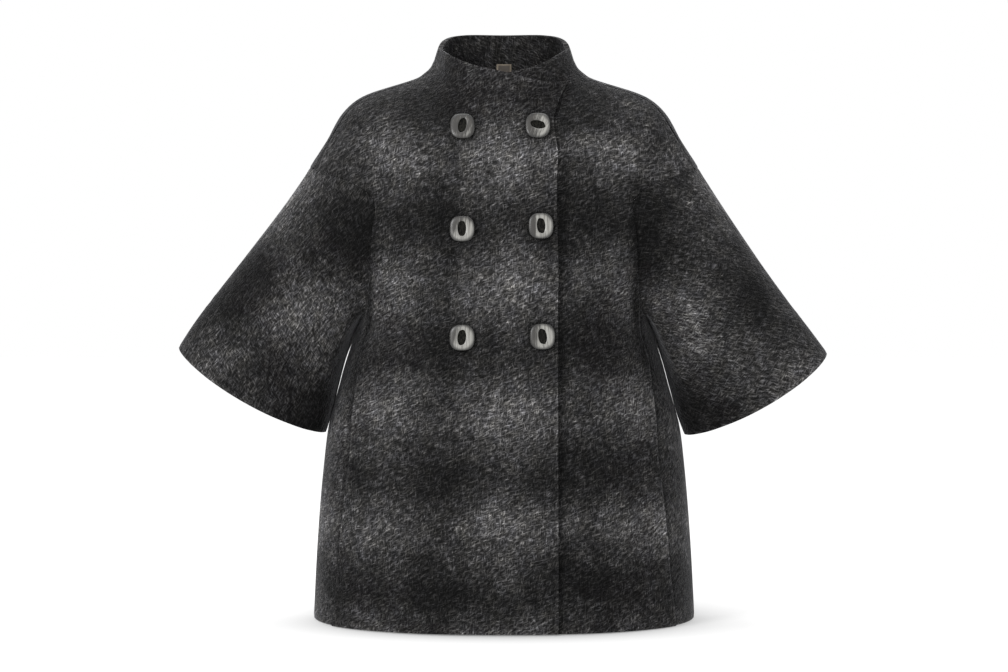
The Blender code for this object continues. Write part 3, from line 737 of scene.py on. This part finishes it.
@dataclass
class ClothPiece:
    """One cut piece of the coat, a thin shell on the solid of its node."""

    node: str
    facing: Facing
    wool: BrushedWool
    cut: Cut
    rests_on: tuple[str, ...]
    creases: tuple[Crease, ...] = ()
    blooms: tuple[Bloom, ...] = ()
    roll: float = 0.7 * MM  # how far its edges turn in
    roll_width: float = 6.0 * MM
    seam_lean: float = 0.0  # how much higher the neck seam runs inside than outside
    neck_seam_z: float = 27.0 * MM
    neck_seam_span: float = 16.0 * MM  # how far above and below it the lean fades out
    first_wall: float = 3.0 * MM  # until each point's own takes its place
    fineness: int = 3
    edge_radius: float = 1.2 * MM
    edge_light: float = 0.50  # a painted highlight along a free edge, where hair stands off it
    edge_width: float = 6.0 * MM
    seam_shade: float = -0.25  # painted shade along a seam and beside a neighbour's edge
    seam_width: float = 7.0 * MM
    button_shade: float = -1.0  # and painted shadow round a button
    button_reach: float = 5.0 * MM
    hidden_from: float = 0.8  # a neighbour this far beneath, as the sine of its angle, gives no shade
    hidden_fade: float = 0.4  # how much higher one gives its full shade
    piece: bpy.types.Object = field(default=None, init=False)

    def lift_face(self) -> None:
        """Copies the node, notes the way through its wall at each point and keeps its outer face."""
        self.piece = copy_of_node(self.node, self.node + "_cloth")
        shell = bmesh.new()
        shell.from_mesh(self.piece.data)
        faces = set(shell.faces)
        middle = sum((f.calc_center_median() for f in faces), Vector()) / len(faces)
        sheets = []
        while faces:
            sheet, edge = [], [faces.pop()]
            while edge:
                face = edge.pop()
                sheet.append(face)
                for side in face.edges:
                    if len(side.link_faces) == 2 and side.calc_face_angle() < FOLDED:
                        for other in side.link_faces:
                            if other in faces:
                                faces.remove(other)
                                edge.append(other)
            sheets.append(sheet)
        outward = [
            sum(f.calc_area() * f.normal.dot(f.calc_center_median() - middle) for f in sheet)
            for sheet in sheets
        ]
        outer = sheets[outward.index(max(outward))]
        inner = sheets[outward.index(min(outward))]
        inner_points = {v for f in inner for v in f.verts}
        nearest = KDTree(len(inner_points))
        for point in inner_points:
            nearest.insert(point.co, point.index)
        nearest.balance()
        walls = np.zeros((len(shell.verts), 3))
        for point in {v for f in outer for v in f.verts}:
            walls[point.index] = nearest.find(point.co)[0] - point.co
        keep = {f.index for f in outer}
        shell.free()
        mesh = self.piece.data
        ways = mesh.attributes.new(WALL, "FLOAT_VECTOR", "POINT").data
        ways.foreach_set("vector", walls.astype(np.float32).ravel())
        for face in mesh.polygons:
            face.select = face.index not in keep
        choose(self.piece)
        bpy.ops.object.mode_set(mode="EDIT")
        bpy.ops.mesh.delete(type="FACE")
        bpy.ops.mesh.select_all(action="SELECT")
        bpy.ops.mesh.tris_convert_to_quads(
            face_threshold=math.radians(60.0), shape_threshold=math.radians(80.0)
        )
        bpy.ops.object.mode_set(mode="OBJECT")

    def smooth_face(self) -> None:
        """Rounds the solid's facets off into a smooth sheet that still passes through their corners."""
        round_through_corners(self.piece, self.fineness)

    def lay_flat(self) -> np.ndarray:
        """Flattens the sheet to its cut, in metres, upright and placed as it is seen.

        Returns:
            Each vertex's place on the cut.
        """
        mesh = self.piece.data
        while mesh.uv_layers:
            mesh.uv_layers.remove(mesh.uv_layers[0])
        mesh.uv_layers.new(name=CUT_MAP)
        choose(self.piece)
        bpy.ops.object.mode_set(mode="EDIT")
        bpy.ops.mesh.select_all(action="SELECT")
        bpy.ops.uv.unwrap(method="ANGLE_BASED", margin=0.0)
        bpy.ops.object.mode_set(mode="OBJECT")
        corners = np.empty(len(mesh.loops) * 2, np.float32)
        mesh.uv_layers[CUT_MAP].uv.foreach_get("vector", corners)
        corners = corners.reshape(-1, 2).astype(float)
        owner = np.empty(len(mesh.loops), np.int32)
        mesh.loops.foreach_get("vertex_index", owner)
        flat = np.zeros((len(mesh.vertices), 2))
        flat[owner] = corners
        places = vertex_places(mesh)
        across, up = (np.array(direction) for direction in self.facing.value)
        seen = np.stack([places @ across, places @ up], axis=1)
        size = math.sqrt(self.area() / max(self.area_of(flat), 1e-12))
        middle, seen_middle = flat.mean(axis=0), seen.mean(axis=0)
        loose = (flat - middle) @ np.array([1.0, 1j])
        target = (seen - seen_middle) @ np.array([1.0, 1j])
        turn = (np.conj(loose) * target).sum()
        placed = loose * (turn / abs(turn)) * size
        flat = np.stack([placed.real, placed.imag], axis=1) + seen_middle
        mesh.uv_layers[CUT_MAP].uv.foreach_set("vector", flat[owner].astype(np.float32).ravel())
        return flat

    def area(self) -> float:
        """The sheet's area."""
        return sum(face.area for face in self.piece.data.polygons)

    def area_of(self, flat: np.ndarray) -> float:
        """Measures the sheet on a flat layout.

        Args:
            flat: Each vertex's place on it.

        Returns:
            The area of its faces.
        """
        total = 0.0
        for face in self.piece.data.polygons:
            ring = flat[list(face.vertices)]
            after = np.roll(ring, -1, axis=0)
            total += abs((ring[:, 0] * after[:, 1] - ring[:, 1] * after[:, 0]).sum()) / 2.0
        return total

    def neighbours(self, trims: bool) -> BVHTree:
        """Gathers the solids round the piece as one surface to search.

        Args:
            trims: Whether those are the buttons, and otherwise all the other cloth pieces.

        Returns:
            The search tree of their faces.
        """
        points, faces = [], []
        for name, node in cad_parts.items():
            if name not in (self.node, LABEL_NODE) and name.startswith("button") == trims:
                start = len(points)
                points.extend(vertex.co.copy() for vertex in node.data.vertices)
                faces.extend([start + i for i in face.vertices] for face in node.data.polygons)
        return BVHTree.FromPolygons(points, faces)

    def crease(self, flat: np.ndarray) -> None:
        """Presses the creases in, turns the edges in and paints light and shade along edges, seams and
        creases.

        Args:
            flat: Each vertex's place on the cut.
        """
        mesh = self.piece.data
        inwards = np.zeros(len(mesh.vertices))
        for crease in self.creases:
            inwards += crease.depth_mm * MM * crease.shares(flat)
        uses = {}
        for face in mesh.polygons:
            for key in face.edge_keys:
                uses[key] = uses.get(key, 0) + 1
        rim = [key for key, count in uses.items() if count == 1]
        places = vertex_places(mesh)
        marks = KDTree(2 * len(rim))
        for i, (start, end) in enumerate(rim):
            marks.insert(places[start], 2 * i)
            marks.insert((places[start] + places[end]) / 2.0, 2 * i + 1)
        marks.balance()
        found = [marks.find(place) for place in places]
        away = np.array([mark[2] for mark in found])
        inwards += self.roll * np.clip(1.0 - away / self.roll_width, 0.0, 1.0) ** 2
        normals = np.empty(len(places) * 3, np.float32)
        mesh.vertices.foreach_get("normal", normals)
        normals = normals.reshape(-1, 3).astype(float)
        tone = self.edge_tones(places, normals, found, away)
        for bloom in self.blooms:
            tone += self.wool.contrast * bloom.tones(flat)
        for crease in self.creases:
            tone += self.wool.contrast * crease.tone * crease.shares(flat)
        mesh.attributes.new(TONE, "FLOAT", "POINT").data.foreach_set("value", tone.astype(np.float32))
        place_vertices(mesh, places - normals * inwards[:, None])

    def edge_tones(
        self, places: np.ndarray, normals: np.ndarray, found: list, away: np.ndarray
    ) -> np.ndarray:
        """The painted highlight along free edges, and the painted shade along seams and round buttons.

        Args:
            places: The sheet's points, one row each.
            normals: Their normals.
            found: Each point's nearest place on the sheet's edge, as the search tree gives it.
            away: How far off that place is.

        Returns:
            One step of tone for each point.
        """
        others, buttons = self.neighbours(False), self.neighbours(True)
        apart = np.array([others.find_nearest(mark[0])[3] for mark in found])
        free = np.clip((apart - SEAM_REACH) / SEAM_REACH, 0.0, 1.0)
        # painted highlight along free edges, then painted shade along seams and round buttons
        tone = self.edge_light * free * np.clip(1.0 - away / self.edge_width, 0.0, 1.0)
        for i, (place, normal) in enumerate(zip(places, normals)):
            spot, _, _, gap = others.find_nearest(place, self.seam_width)
            if spot is not None:
                above = (np.array(spot) - place) @ normal / max(gap, WELD)
                shown = min(max((above + self.hidden_from) / self.hidden_fade, 0.0), 1.0)
                tone[i] += self.seam_shade * shown * (1.0 - gap / self.seam_width)
            gap = buttons.find_nearest(place, self.button_reach)[3]
            if gap is not None:
                tone[i] += self.button_shade * (1.0 - gap / self.button_reach)
        return tone

    def thicken(self) -> None:
        """Gives the sheet the wall of its solid, inwards, and rounds its cut edges."""
        mesh = self.piece.data
        count = len(mesh.vertices)
        sides = len(mesh.polygons)
        walls = np.empty(count * 3, np.float32)
        mesh.attributes[WALL].data.foreach_get("vector", walls)
        walls = walls.reshape(-1, 3)
        mesh.attributes.remove(mesh.attributes[WALL])
        apply_modifier(self.piece, "SOLIDIFY", thickness=self.first_wall, offset=-1.0, use_rim=True)
        places = vertex_places(mesh)
        from_seam = np.abs(places[:count, 2] - self.neck_seam_z)
        walls[:, 2] += self.seam_lean * np.clip(1.0 - from_seam / self.neck_seam_span, 0.0, 1.0)
        places[count : 2 * count] = places[:count] + walls
        place_vertices(mesh, places)
        slots = np.zeros(len(mesh.polygons), np.int32)
        slots[sides : 2 * sides] = 1
        mesh.polygons.foreach_set("material_index", slots)
        apply_modifier(
            self.piece,
            "BEVEL",
            width=self.edge_radius,
            segments=2,
            limit_method="ANGLE",
            angle_limit=math.radians(60.0),
            loop_slide=False,
        )

    def build(self) -> None:
        self.lift_face()
        self.smooth_face()
        flat = self.lay_flat()
        width, length = flat.max(axis=0) - flat.min(axis=0)
        LOG.info("%s cut %.3f x %.3f m, area %.4f m2", self.node, width, length, self.area())
        self.crease(flat)
        self.thicken()
        choose(self.piece)
        bpy.ops.object.shade_smooth_by_angle(angle=FOLDED)
        self.piece.data.materials.append(self.wool.material())
        self.piece.data.materials.append(SHADED_WOOL_INSIDE.material())
        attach(self.piece, BODY)
        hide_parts(self.node)
        LOG.info("%s: %d faces", self.piece.name, len(self.piece.data.polygons))


# ---- Sub-assemblies ---------------------------------------------------------------------------------------


@dataclass
class Fronts:
    """The two fronts with their grown-on collar. The wearer's right one laps over the left."""

    over_roll: float = 0.3 * MM
    over_cut: Cut = Cut(0.382, 0.878, 0.255)
    under_cut: Cut = Cut(0.348, 0.877, 0.248)
    under_rows: Bands = (
        (-0.880, -0.05), (-0.810, +0.03), (-0.752, -0.42), (-0.667, +0.32),
        (-0.589, -0.30), (-0.495, +0.30), (-0.408, -0.33), (-0.310, +0.24),
        (-0.212, -0.38), (-0.125, +0.28), (-0.050, -0.22), (+0.060, -0.24),
    )
    under_columns: Bands = (
        (0.020, +0.16), (0.060, +0.05), (0.085, -0.05), (0.130, -0.12), (0.170, +0.05),
        (0.210, +0.05), (0.240, +0.13), (0.280, -0.20), (0.360, 0.00),
    )
    over_creases: tuple[Crease, ...] = (
        Crease(((0.082, -0.82), (0.080, -0.30), (0.083, -0.16), (0.096, -0.05)), 9.0, -2.2),  # the edge
        Crease(  # armhole, with painted shade in its crevice
            ((-0.196, -0.17), (-0.193, -0.25), (-0.216, -0.34), (-0.23, -0.4), (-0.236, -0.47)),
            8.0,
            0.0,
            -0.75,
        ),
        Crease(  # collar edge: a ridge with a painted highlight
            ((-0.090, 0.045), (-0.05, 0.02), (-0.022, 0.01), (0.02, 0.003), (0.055, 0.0), (0.095, -0.003)),
            5.0,
            -1.0,
            0.42,
        ),
        Crease(((-0.205, -0.100), (-0.172, -0.140), (-0.128, -0.168)), 20.0, 1.5),  # from the shoulder
        Crease(((-0.215, -0.330), (-0.176, -0.352), (-0.128, -0.362), (-0.085, -0.352)), 18.0, 1.3),
        Crease(((-0.205, -0.430), (-0.182, -0.520), (-0.176, -0.610)), 22.0, 1.5),
        Crease(((-0.118, -0.560), (-0.128, -0.690), (-0.122, -0.820)), 24.0, -1.6),
        Crease(((-0.028, -0.620), (-0.020, -0.730), (-0.024, -0.840)), 22.0, 1.4),
    )
    under_creases: tuple[Crease, ...] = (
        Crease(  # the shade beside the upper front's edge
            ((0.084, -0.04), (0.082, -0.13), (0.083, -0.34), (0.080, -0.56), (0.077, -0.80)), 7.0, 0.0, -0.30
        ),
        Crease(  # armhole, with painted shade in its crevice
            ((0.188, -0.17), (0.190, -0.25), (0.207, -0.34), (0.220, -0.41), (0.227, -0.47)), 8.0, 0.0, -0.70
        ),
        Crease(((0.080, 0.045), (0.050, 0.024), (0.018, 0.008)), 5.0, -1.0, 0.42),  # collar edge: a ridge with a painted highlight
        Crease(((0.205, -0.105), (0.172, -0.135), (0.138, -0.148)), 18.0, 1.4),  # from the shoulder
        Crease(((0.208, -0.340), (0.172, -0.356), (0.132, -0.350)), 17.0, 1.3),
        Crease(((0.150, -0.430), (0.162, -0.540), (0.158, -0.640)), 24.0, 1.5),
        Crease(((0.205, -0.600), (0.212, -0.710), (0.206, -0.830)), 22.0, 1.6),
        Crease(((0.118, -0.660), (0.124, -0.750), (0.121, -0.845)), 20.0, -1.5),
    )
    over_blooms: tuple[Bloom, ...] = (
        Bloom((-0.235, -0.052), (0.040, 0.022), +0.22),
        Bloom((-0.230, -0.130), (0.042, 0.040), -0.34),
        Bloom((-0.170, -0.150), (0.022, 0.022), -0.14),
        Bloom((-0.160, -0.085), (0.030, 0.028), +0.18),
        Bloom((-0.035, -0.195), (0.050, 0.035), +0.15),
        Bloom((-0.120, -0.140), (0.030, 0.030), +0.12),
        Bloom((-0.180, -0.395), (0.020, 0.035), +0.16),
        Bloom((-0.225, -0.640), (0.022, 0.040), +0.16),
        Bloom((-0.200, -0.780), (0.040, 0.025), +0.14),
    )
    under_blooms: tuple[Bloom, ...] = (
        Bloom((0.200, -0.058), (0.035, 0.025), +0.28),
        Bloom((0.145, -0.150), (0.042, 0.045), +0.42),
        Bloom((0.135, -0.275), (0.030, 0.035), +0.24),
        Bloom((0.185, -0.350), (0.022, 0.030), +0.16),
        Bloom((0.220, -0.105), (0.022, 0.030), -0.30),
        Bloom((0.195, -0.160), (0.016, 0.016), -0.24),
        Bloom((0.195, -0.445), (0.025, 0.060), +0.18),
        Bloom((0.200, -0.528), (0.025, 0.025), +0.18),
        Bloom((0.235, -0.700), (0.025, 0.110), +0.14),
    )

    def build(self) -> None:
        """Builds both fronts. The upper one's free edge is turned in on a facing, so it stands thick."""
        wool = BrushedWool("wool_front_right")
        layout = (self.over_cut, ("sleeve_front_right", "back"), self.over_creases, self.over_blooms)
        ClothPiece("front_right", Facing.FRONT, wool, *layout, roll=self.over_roll).build()
        wool = BrushedWool("wool_front_left", Check(self.under_rows, self.under_columns))
        layout = (self.under_cut, ("sleeve_front_left", "back"), self.under_creases, self.under_blooms)
        ClothPiece("front_left", Facing.FRONT, wool, *layout).build()


@dataclass
class Back:
    """The back, the back of the collar stand and the two side panels."""

    back_cut: Cut = Cut(0.651, 0.911, 0.427)
    collar_cut: Cut = Cut(0.338, 0.041, 0.0108)
    side_cut: Cut = Cut(0.263, 0.469, 0.105)
    side_rows: Bands = (
        (-0.880, +0.05), (-0.810, +0.10), (-0.752, -0.30), (-0.667, +0.28),
        (-0.589, -0.08), (-0.505, +0.22), (-0.423, -0.25), (-0.319, +0.20),
    )
    # painted shadow that the sleeves cast on the side panels, under the arms
    right_sleeve_shadow: Bloom = Bloom((0.070, -0.430), (0.060, 0.065), -0.42)
    left_sleeve_shadow: Bloom = Bloom((-0.060, -0.430), (0.050, 0.055), -0.25)
    back_creases: tuple[Crease, ...] = (
        Crease(((-0.105, -0.030), (-0.040, -0.048), (0.035, -0.046), (0.095, -0.028)), 16.0, 1.3),
        Crease(((-0.215, -0.115), (-0.180, -0.170), (-0.162, -0.250)), 24.0, 2.0),
        Crease(((0.220, -0.105), (0.188, -0.180), (0.172, -0.275)), 22.0, 2.2),
        Crease(((-0.205, -0.350), (-0.150, -0.366), (-0.095, -0.358)), 18.0, 1.4),
        Crease(((0.210, -0.338), (0.165, -0.362), (0.120, -0.368), (0.075, -0.356)), 20.0, 1.6),
        Crease(((-0.115, -0.440), (-0.128, -0.610), (-0.122, -0.830)), 32.0, 2.4),
        Crease(((-0.030, -0.560), (-0.024, -0.690), (-0.030, -0.840)), 26.0, -1.8),
        Crease(((0.075, -0.480), (0.088, -0.640), (0.084, -0.835)), 30.0, 2.2),
        Crease(((0.190, -0.520), (0.202, -0.670), (0.208, -0.830)), 24.0, -1.7),
    )
    left_creases: tuple[Crease, ...] = (
        Crease(((-0.020, -0.450), (-0.012, -0.590), (-0.018, -0.760)), 18.0, 2.0),
        Crease(((0.052, -0.520), (0.058, -0.650), (0.054, -0.800)), 16.0, -1.5),
    )
    right_creases: tuple[Crease, ...] = (
        Crease(((0.024, -0.470), (0.014, -0.620), (0.020, -0.790)), 17.0, 2.1),
        Crease(((-0.050, -0.500), (-0.056, -0.610), (-0.050, -0.740)), 16.0, -1.4),
    )
    seam_lean: float = 2.0 * MM  # no light passes straight through the neck seam
    side_lift: float = 0.12
    side_seam_shade: float = -1.2  # painted shade along the side panels' seams, as they lie a layer deeper than their neighbours
    side_seam_width: float = 12.0 * MM

    def build(self) -> None:
        """Builds the four pieces."""
        rests = ("front_right", "front_left")
        wool = BrushedWool("wool_back")
        layout = (self.back_cut, rests, self.back_creases)
        ClothPiece("back", Facing.BACK, wool, *layout, seam_lean=self.seam_lean, fineness=2).build()
        wool = BrushedWool("wool_collar")
        rests = ("back",)
        ClothPiece("collar_back", Facing.BACK, wool, self.collar_cut, rests, seam_lean=self.seam_lean).build()
        sides = (
            ("side_left", Facing.LEFT, self.left_creases, self.left_sleeve_shadow),
            ("side_right", Facing.RIGHT, self.right_creases, self.right_sleeve_shadow),
        )
        for node, facing, creases, bloom in sides:
            wool = BrushedWool("wool_" + node, Check(self.side_rows, lift=self.side_lift))
            layout = (self.side_cut, rests, creases, (bloom,))
            seams = {"seam_shade": self.side_seam_shade, "seam_width": self.side_seam_width}
            ClothPiece(node, facing, wool, *layout, **seams).build()


@dataclass(frozen=True)
class SleeveCloth:
    """One bell sleeve's two halves: where they come in pairs, the front half's value is first."""

    side: str
    facings: tuple[Facing, Facing]
    cuts: tuple[Cut, Cut]
    nap_angles: tuple[float, float]
    rows: tuple[Bands, Bands]
    columns: Bands  # of the front half: the back one has them mirrored
    creases: tuple[tuple[Crease, ...], tuple[Crease, ...]]
    blooms: tuple[Bloom, ...]  # on the front half

    def build(self) -> None:
        """Builds the front half, and then the back one, which is plainer and has fewer faces."""
        flipped = tuple((-place, tone) for place, tone in reversed(self.columns))
        checks = (Check(self.rows[0], self.columns), Check(self.rows[1], flipped))
        rests = ("front_" + self.side, "back")
        for half, (name, blooms, fineness) in enumerate((("front", self.blooms, 3), ("back", (), 2))):
            node = f"sleeve_{name}_{self.side}"
            wool = BrushedWool("wool_" + node, checks[half], self.nap_angles[half])
            layout = (self.cuts[half], rests, self.creases[half], blooms)
            ClothPiece(node, self.facings[half], wool, *layout, fineness=fineness).build()


SLEEVE_BACK_ROWS: Bands = ((-0.46, -0.2), (-0.336, -0.35), (-0.226, 0.25), (-0.136, -0.16), (-0.053, 0.28))


@dataclass
class Sleeves:
    """Both bell sleeves, each cut in two halves that join over the arm and under it."""

    right: SleeveCloth = SleeveCloth(
        side="right",
        facings=(Facing.RIGHT_SLEEVE_FRONT, Facing.RIGHT_SLEEVE_BACK),
        cuts=(Cut(0.349, 0.399, 0.0836), Cut(0.373, 0.457, 0.0934)),
        nap_angles=(33.0, 10.0),
        # the darkest row and column, under the arm and beside the armhole, are partly painted shade
        rows=(
            (
                (-0.460, -0.10), (-0.326, -0.45), (-0.280, +0.05), (-0.210, +0.27),
                (-0.130, -0.42), (-0.080, -0.20), (-0.030, +0.20), (+0.020, +0.30),
            ),
            SLEEVE_BACK_ROWS,
        ),
        columns=(
            (-0.570, -0.03), (-0.490, -0.24), (-0.400, +0.22),
            (-0.360, +0.14), (-0.285, -0.38), (-0.200, -0.10),
        ),
        creases=(
            (
                Crease(  # under the arm, with painted shade
                    ((-0.335, -0.260), (-0.372, -0.302), (-0.425, -0.351), (-0.480, -0.372)), 22.0, 1.6, -0.50
                ),
                Crease(((-0.262, -0.070), (-0.318, -0.108), (-0.372, -0.160)), 20.0, 1.8),
                Crease(((-0.395, -0.120), (-0.452, -0.172), (-0.500, -0.232)), 24.0, -1.6),
                Crease(((-0.342, -0.190), (-0.402, -0.244), (-0.452, -0.300)), 20.0, 1.8),
            ),
            (
                Crease(((0.258, -0.050), (0.335, -0.108), (0.420, -0.190)), 26.0, 2.4),
                Crease(((0.370, -0.060), (0.448, -0.120), (0.520, -0.200)), 24.0, -1.8),
                Crease(((0.290, -0.190), (0.352, -0.262), (0.412, -0.345)), 22.0, 2.0),
            ),
        ),
        blooms=(
            Bloom((-0.292, -0.050), (0.028, 0.022), +0.34),
            Bloom((-0.447, -0.098), (0.030, 0.026), -0.32),
            Bloom((-0.400, -0.150), (0.030, 0.026), +0.26),
            Bloom((-0.334, -0.097), (0.020, 0.018), -0.22),
            Bloom((-0.550, -0.165), (0.025, 0.022), +0.28),
            Bloom((-0.540, -0.245), (0.060, 0.018), -0.26),
            Bloom((-0.330, -0.235), (0.018, 0.050), -0.12),
            Bloom((-0.272, -0.075), (0.020, 0.024), +0.22),
            Bloom((-0.365, -0.030), (0.022, 0.022), -0.20),
        ),
    )
    left: SleeveCloth = SleeveCloth(
        side="left",
        facings=(Facing.LEFT_SLEEVE_FRONT, Facing.LEFT_SLEEVE_BACK),
        cuts=(Cut(0.355, 0.406, 0.0858), Cut(0.374, 0.462, 0.0952)),
        nap_angles=(30.0, 40.0),
        # the darkest row and column, under the arm and beside the armhole, are partly painted shade
        rows=(
            (
                (-0.460, -0.20), (-0.336, -0.46), (-0.280, +0.02), (-0.226, +0.25),
                (-0.136, -0.28), (-0.080, 0.00), (-0.030, +0.17),
            ),
            SLEEVE_BACK_ROWS,
        ),
        columns=(
            (0.200, -0.25), (0.280, -0.56), (0.350, +0.05), (0.400, +0.18),
            (0.450, -0.13), (0.520, -0.04), (0.570, +0.15),
        ),
        creases=(
            (
                Crease(  # under the arm, with painted shade
                    ((0.330, -0.260), (0.367, -0.306), (0.428, -0.346), (0.490, -0.368)), 18.0, 1.5, -0.34
                ),
                Crease(((0.266, -0.085), (0.322, -0.118), (0.368, -0.172)), 18.0, 1.7),
                Crease(((0.402, -0.105), (0.456, -0.165), (0.498, -0.222)), 22.0, -1.5),
                Crease(((0.338, -0.205), (0.392, -0.252), (0.446, -0.312)), 20.0, 1.7),
            ),
            (
                Crease(((-0.270, -0.062), (-0.338, -0.124), (-0.405, -0.205)), 24.0, 2.2),
                Crease(((-0.382, -0.075), (-0.455, -0.138), (-0.512, -0.215)), 22.0, -1.7),
                Crease(((-0.300, -0.205), (-0.366, -0.276), (-0.438, -0.340)), 24.0, 2.2),
            ),
        ),
        blooms=(
            Bloom((0.293, -0.058), (0.032, 0.024), +0.40),
            Bloom((0.415, -0.086), (0.030, 0.024), -0.24),
            Bloom((0.386, -0.170), (0.032, 0.018), +0.28),
            Bloom((0.470, -0.145), (0.022, 0.028), -0.30),
            Bloom((0.525, -0.132), (0.022, 0.025), +0.30),
            Bloom((0.440, -0.262), (0.042, 0.020), +0.32),
        ),
    )

    def build(self) -> None:
        """Builds the four halves."""
        self.right.build()
        self.left.build()


@dataclass
class Buttons:
    """Six large horn buttons, in three rows of two, each with thread wound in its oval recess."""

    fineness: int = 2
    rim_crease: float = 0.7  # how crisp the recess's rim is, and the edge of its floor
    floor_crease: float = 0.4
    looks: tuple[ButtonLook, ...] = (
        ButtonLook("button_top_outer", 8.0, -65.0, 0.80, 0.70, 0.80),
        ButtonLook("button_top_inner", 17.0, -10.0, -0.10, 0.65, 0.95),
        ButtonLook("button_middle_outer", 4.0, -55.0, -0.35, 0.65, 0.95),
        ButtonLook("button_middle_inner", 0.0, 0.0, -0.42, 0.10, 1.0),
        ButtonLook("button_bottom_outer", 2.0, -15.0, -0.55, 0.40, 0.95),
        ButtonLook("button_bottom_inner", -5.0, -10.0, -0.45, 0.50, 1.0),
    )

    def mark_recess(self, piece: bpy.types.Object) -> None:
        """Keeps the recess's rim crisp and gives its floor the second material.

        Args:
            piece: The welded copy of the button, before it is rounded.
        """
        mesh = piece.data
        links = [set() for _ in mesh.vertices]
        for edge in mesh.edges:
            start, end = edge.vertices
            links[start].add(end)
            links[end].add(start)
        most = max(len(near) for near in links)
        hubs = [v for v in mesh.vertices if len(links[v.index]) == most]
        hub = min(hubs, key=lambda v: v.co.y).index
        floor = links[hub]
        rim = {far for near in floor for far in links[near]} - floor - {hub}
        for face in mesh.polygons:
            face.material_index = 0 if floor.isdisjoint(face.vertices) else 1
        creases = mesh.attributes.new("crease_edge", "FLOAT", "EDGE")
        for edge in mesh.edges:
            ends = set(edge.vertices)
            if ends <= rim:
                creases.data[edge.index].value = self.rim_crease
            elif ends <= floor:
                creases.data[edge.index].value = self.floor_crease

    def build(self) -> None:
        """Builds each button as a rounded piece on its solid."""
        thread = WoundThread().material()
        for look in self.looks:
            piece = copy_of_node(look.node, look.node + "_horn")
            self.mark_recess(piece)
            bpy.ops.object.mode_set(mode="EDIT")
            bpy.ops.mesh.select_all(action="SELECT")
            bpy.ops.mesh.tris_convert_to_quads(face_threshold=math.radians(40.0), materials=True)
            bpy.ops.object.mode_set(mode="OBJECT")
            round_through_corners(piece, self.fineness)
            bpy.ops.object.shade_smooth()
            low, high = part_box(look.node)
            centre = tuple((a + b) / 2.0 for a, b in zip(low, high))
            piece.data.materials.append(GreyHorn("horn_" + look.node, centre, look).material())
            piece.data.materials.append(thread)
            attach(piece, BODY)
            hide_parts(look.node)
            LOG.info("%s: %d faces", piece.name, len(piece.data.polygons))


@dataclass
class Label:
    """The small bare label inside the back of the neck."""

    def build(self) -> None:
        """Builds the label on its solid."""
        piece = copy_of_node(LABEL_NODE, "neck_label_tape")
        apply_modifier(piece, "BEVEL", width=0.2 * MM, segments=2, limit_method="ANGLE")
        choose(piece)
        bpy.ops.object.shade_smooth_by_angle(angle=math.radians(40.0))
        piece.data.materials.append(WovenTape("taupe_tape", *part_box(LABEL_NODE)).material())
        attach(piece, BODY)
        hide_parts(LABEL_NODE)
        LOG.info("%s: %d faces", piece.name, len(piece.data.polygons))


@dataclass
class Studio:
    """The pale paper floor, the soft lights and the camera."""

    floor_z: float = -0.8085
    floor_width: float = 60.0
    daylight: float = 1.0  # even white light from all round, which is also the white behind the coat
    eye: tuple[float, float, float] = (0.0, -2.6, -0.3915)
    photo_width_px: float = 1008.0
    metres_per_px: float = 0.0015  # at the coat's middle
    sensor: float = 36.0
    middle: tuple[float, float, float] = (0.0, 0.0, -0.4)  # of the coat

    def add_floor(self) -> None:
        """Lays the paper out under the coat."""
        bpy.ops.object.select_all(action="DESELECT")
        bpy.ops.mesh.primitive_plane_add(size=self.floor_width, location=(0.0, 0.0, self.floor_z))
        floor = bpy.context.object
        floor.name = "paper_floor"
        bpy.ops.object.transform_apply(location=True, rotation=True, scale=True)
        floor.data.materials.append(PaleFloor().material())

    def add_light(self, name: str, place: tuple, size: tuple[float, float], watts: float) -> None:
        """Adds one softbox, aimed at the coat's middle.

        Args:
            name: The light's name.
            place: Where it stands.
            size: Its width and height.
            watts: Its power.
        """
        light = bpy.data.lights.new(name, "AREA")
        light.shape = "RECTANGLE"
        light.size, light.size_y = size
        light.energy = watts
        lamp = bpy.data.objects.new(name, light)
        lamp.location = place
        lamp.rotation_euler = (Vector(self.middle) - Vector(place)).to_track_quat("-Z", "Y").to_euler()
        bpy.context.scene.collection.objects.link(lamp)

    def build(self) -> None:
        """Sets the whole studio up."""
        scene = bpy.context.scene
        scene.view_settings.view_transform = "Standard"
        world = bpy.data.worlds.new("studio")
        scene.world = world
        world.use_nodes = True
        background = world.node_tree.nodes["Background"].inputs
        background["Color"].default_value = (1.0, 1.0, 1.0, 1.0)
        background["Strength"].default_value = self.daylight
        self.add_floor()
        self.add_light("key_softbox", (-2.0, -2.0, 1.0), (0.9, 0.9), 50.0)
        self.add_light("top_softbox", (0.0, 0.4, 1.9), (2.4, 1.2), 24.0)
        camera = bpy.data.objects.new("camera", bpy.data.cameras.new("camera"))
        camera.location = self.eye
        camera.rotation_euler = (math.pi / 2.0, 0.0, 0.0)
        camera.data.sensor_width = self.sensor
        camera.data.lens = self.sensor * -self.eye[1] / (self.photo_width_px * self.metres_per_px)
        scene.collection.objects.link(camera)
        scene.camera = camera


def main() -> None:
    """Builds the studio and the coat, piece by piece."""
    logging.basicConfig(level=logging.INFO, format="%(message)s")
    Studio().build()
    for part in (Fronts(), Back(), Sleeves(), Buttons(), Label()):
        part.build()
        LOG.info("%s built", type(part).__name__)
    bpy.context.view_layer.update()


if __name__ == "__main__":
    main()
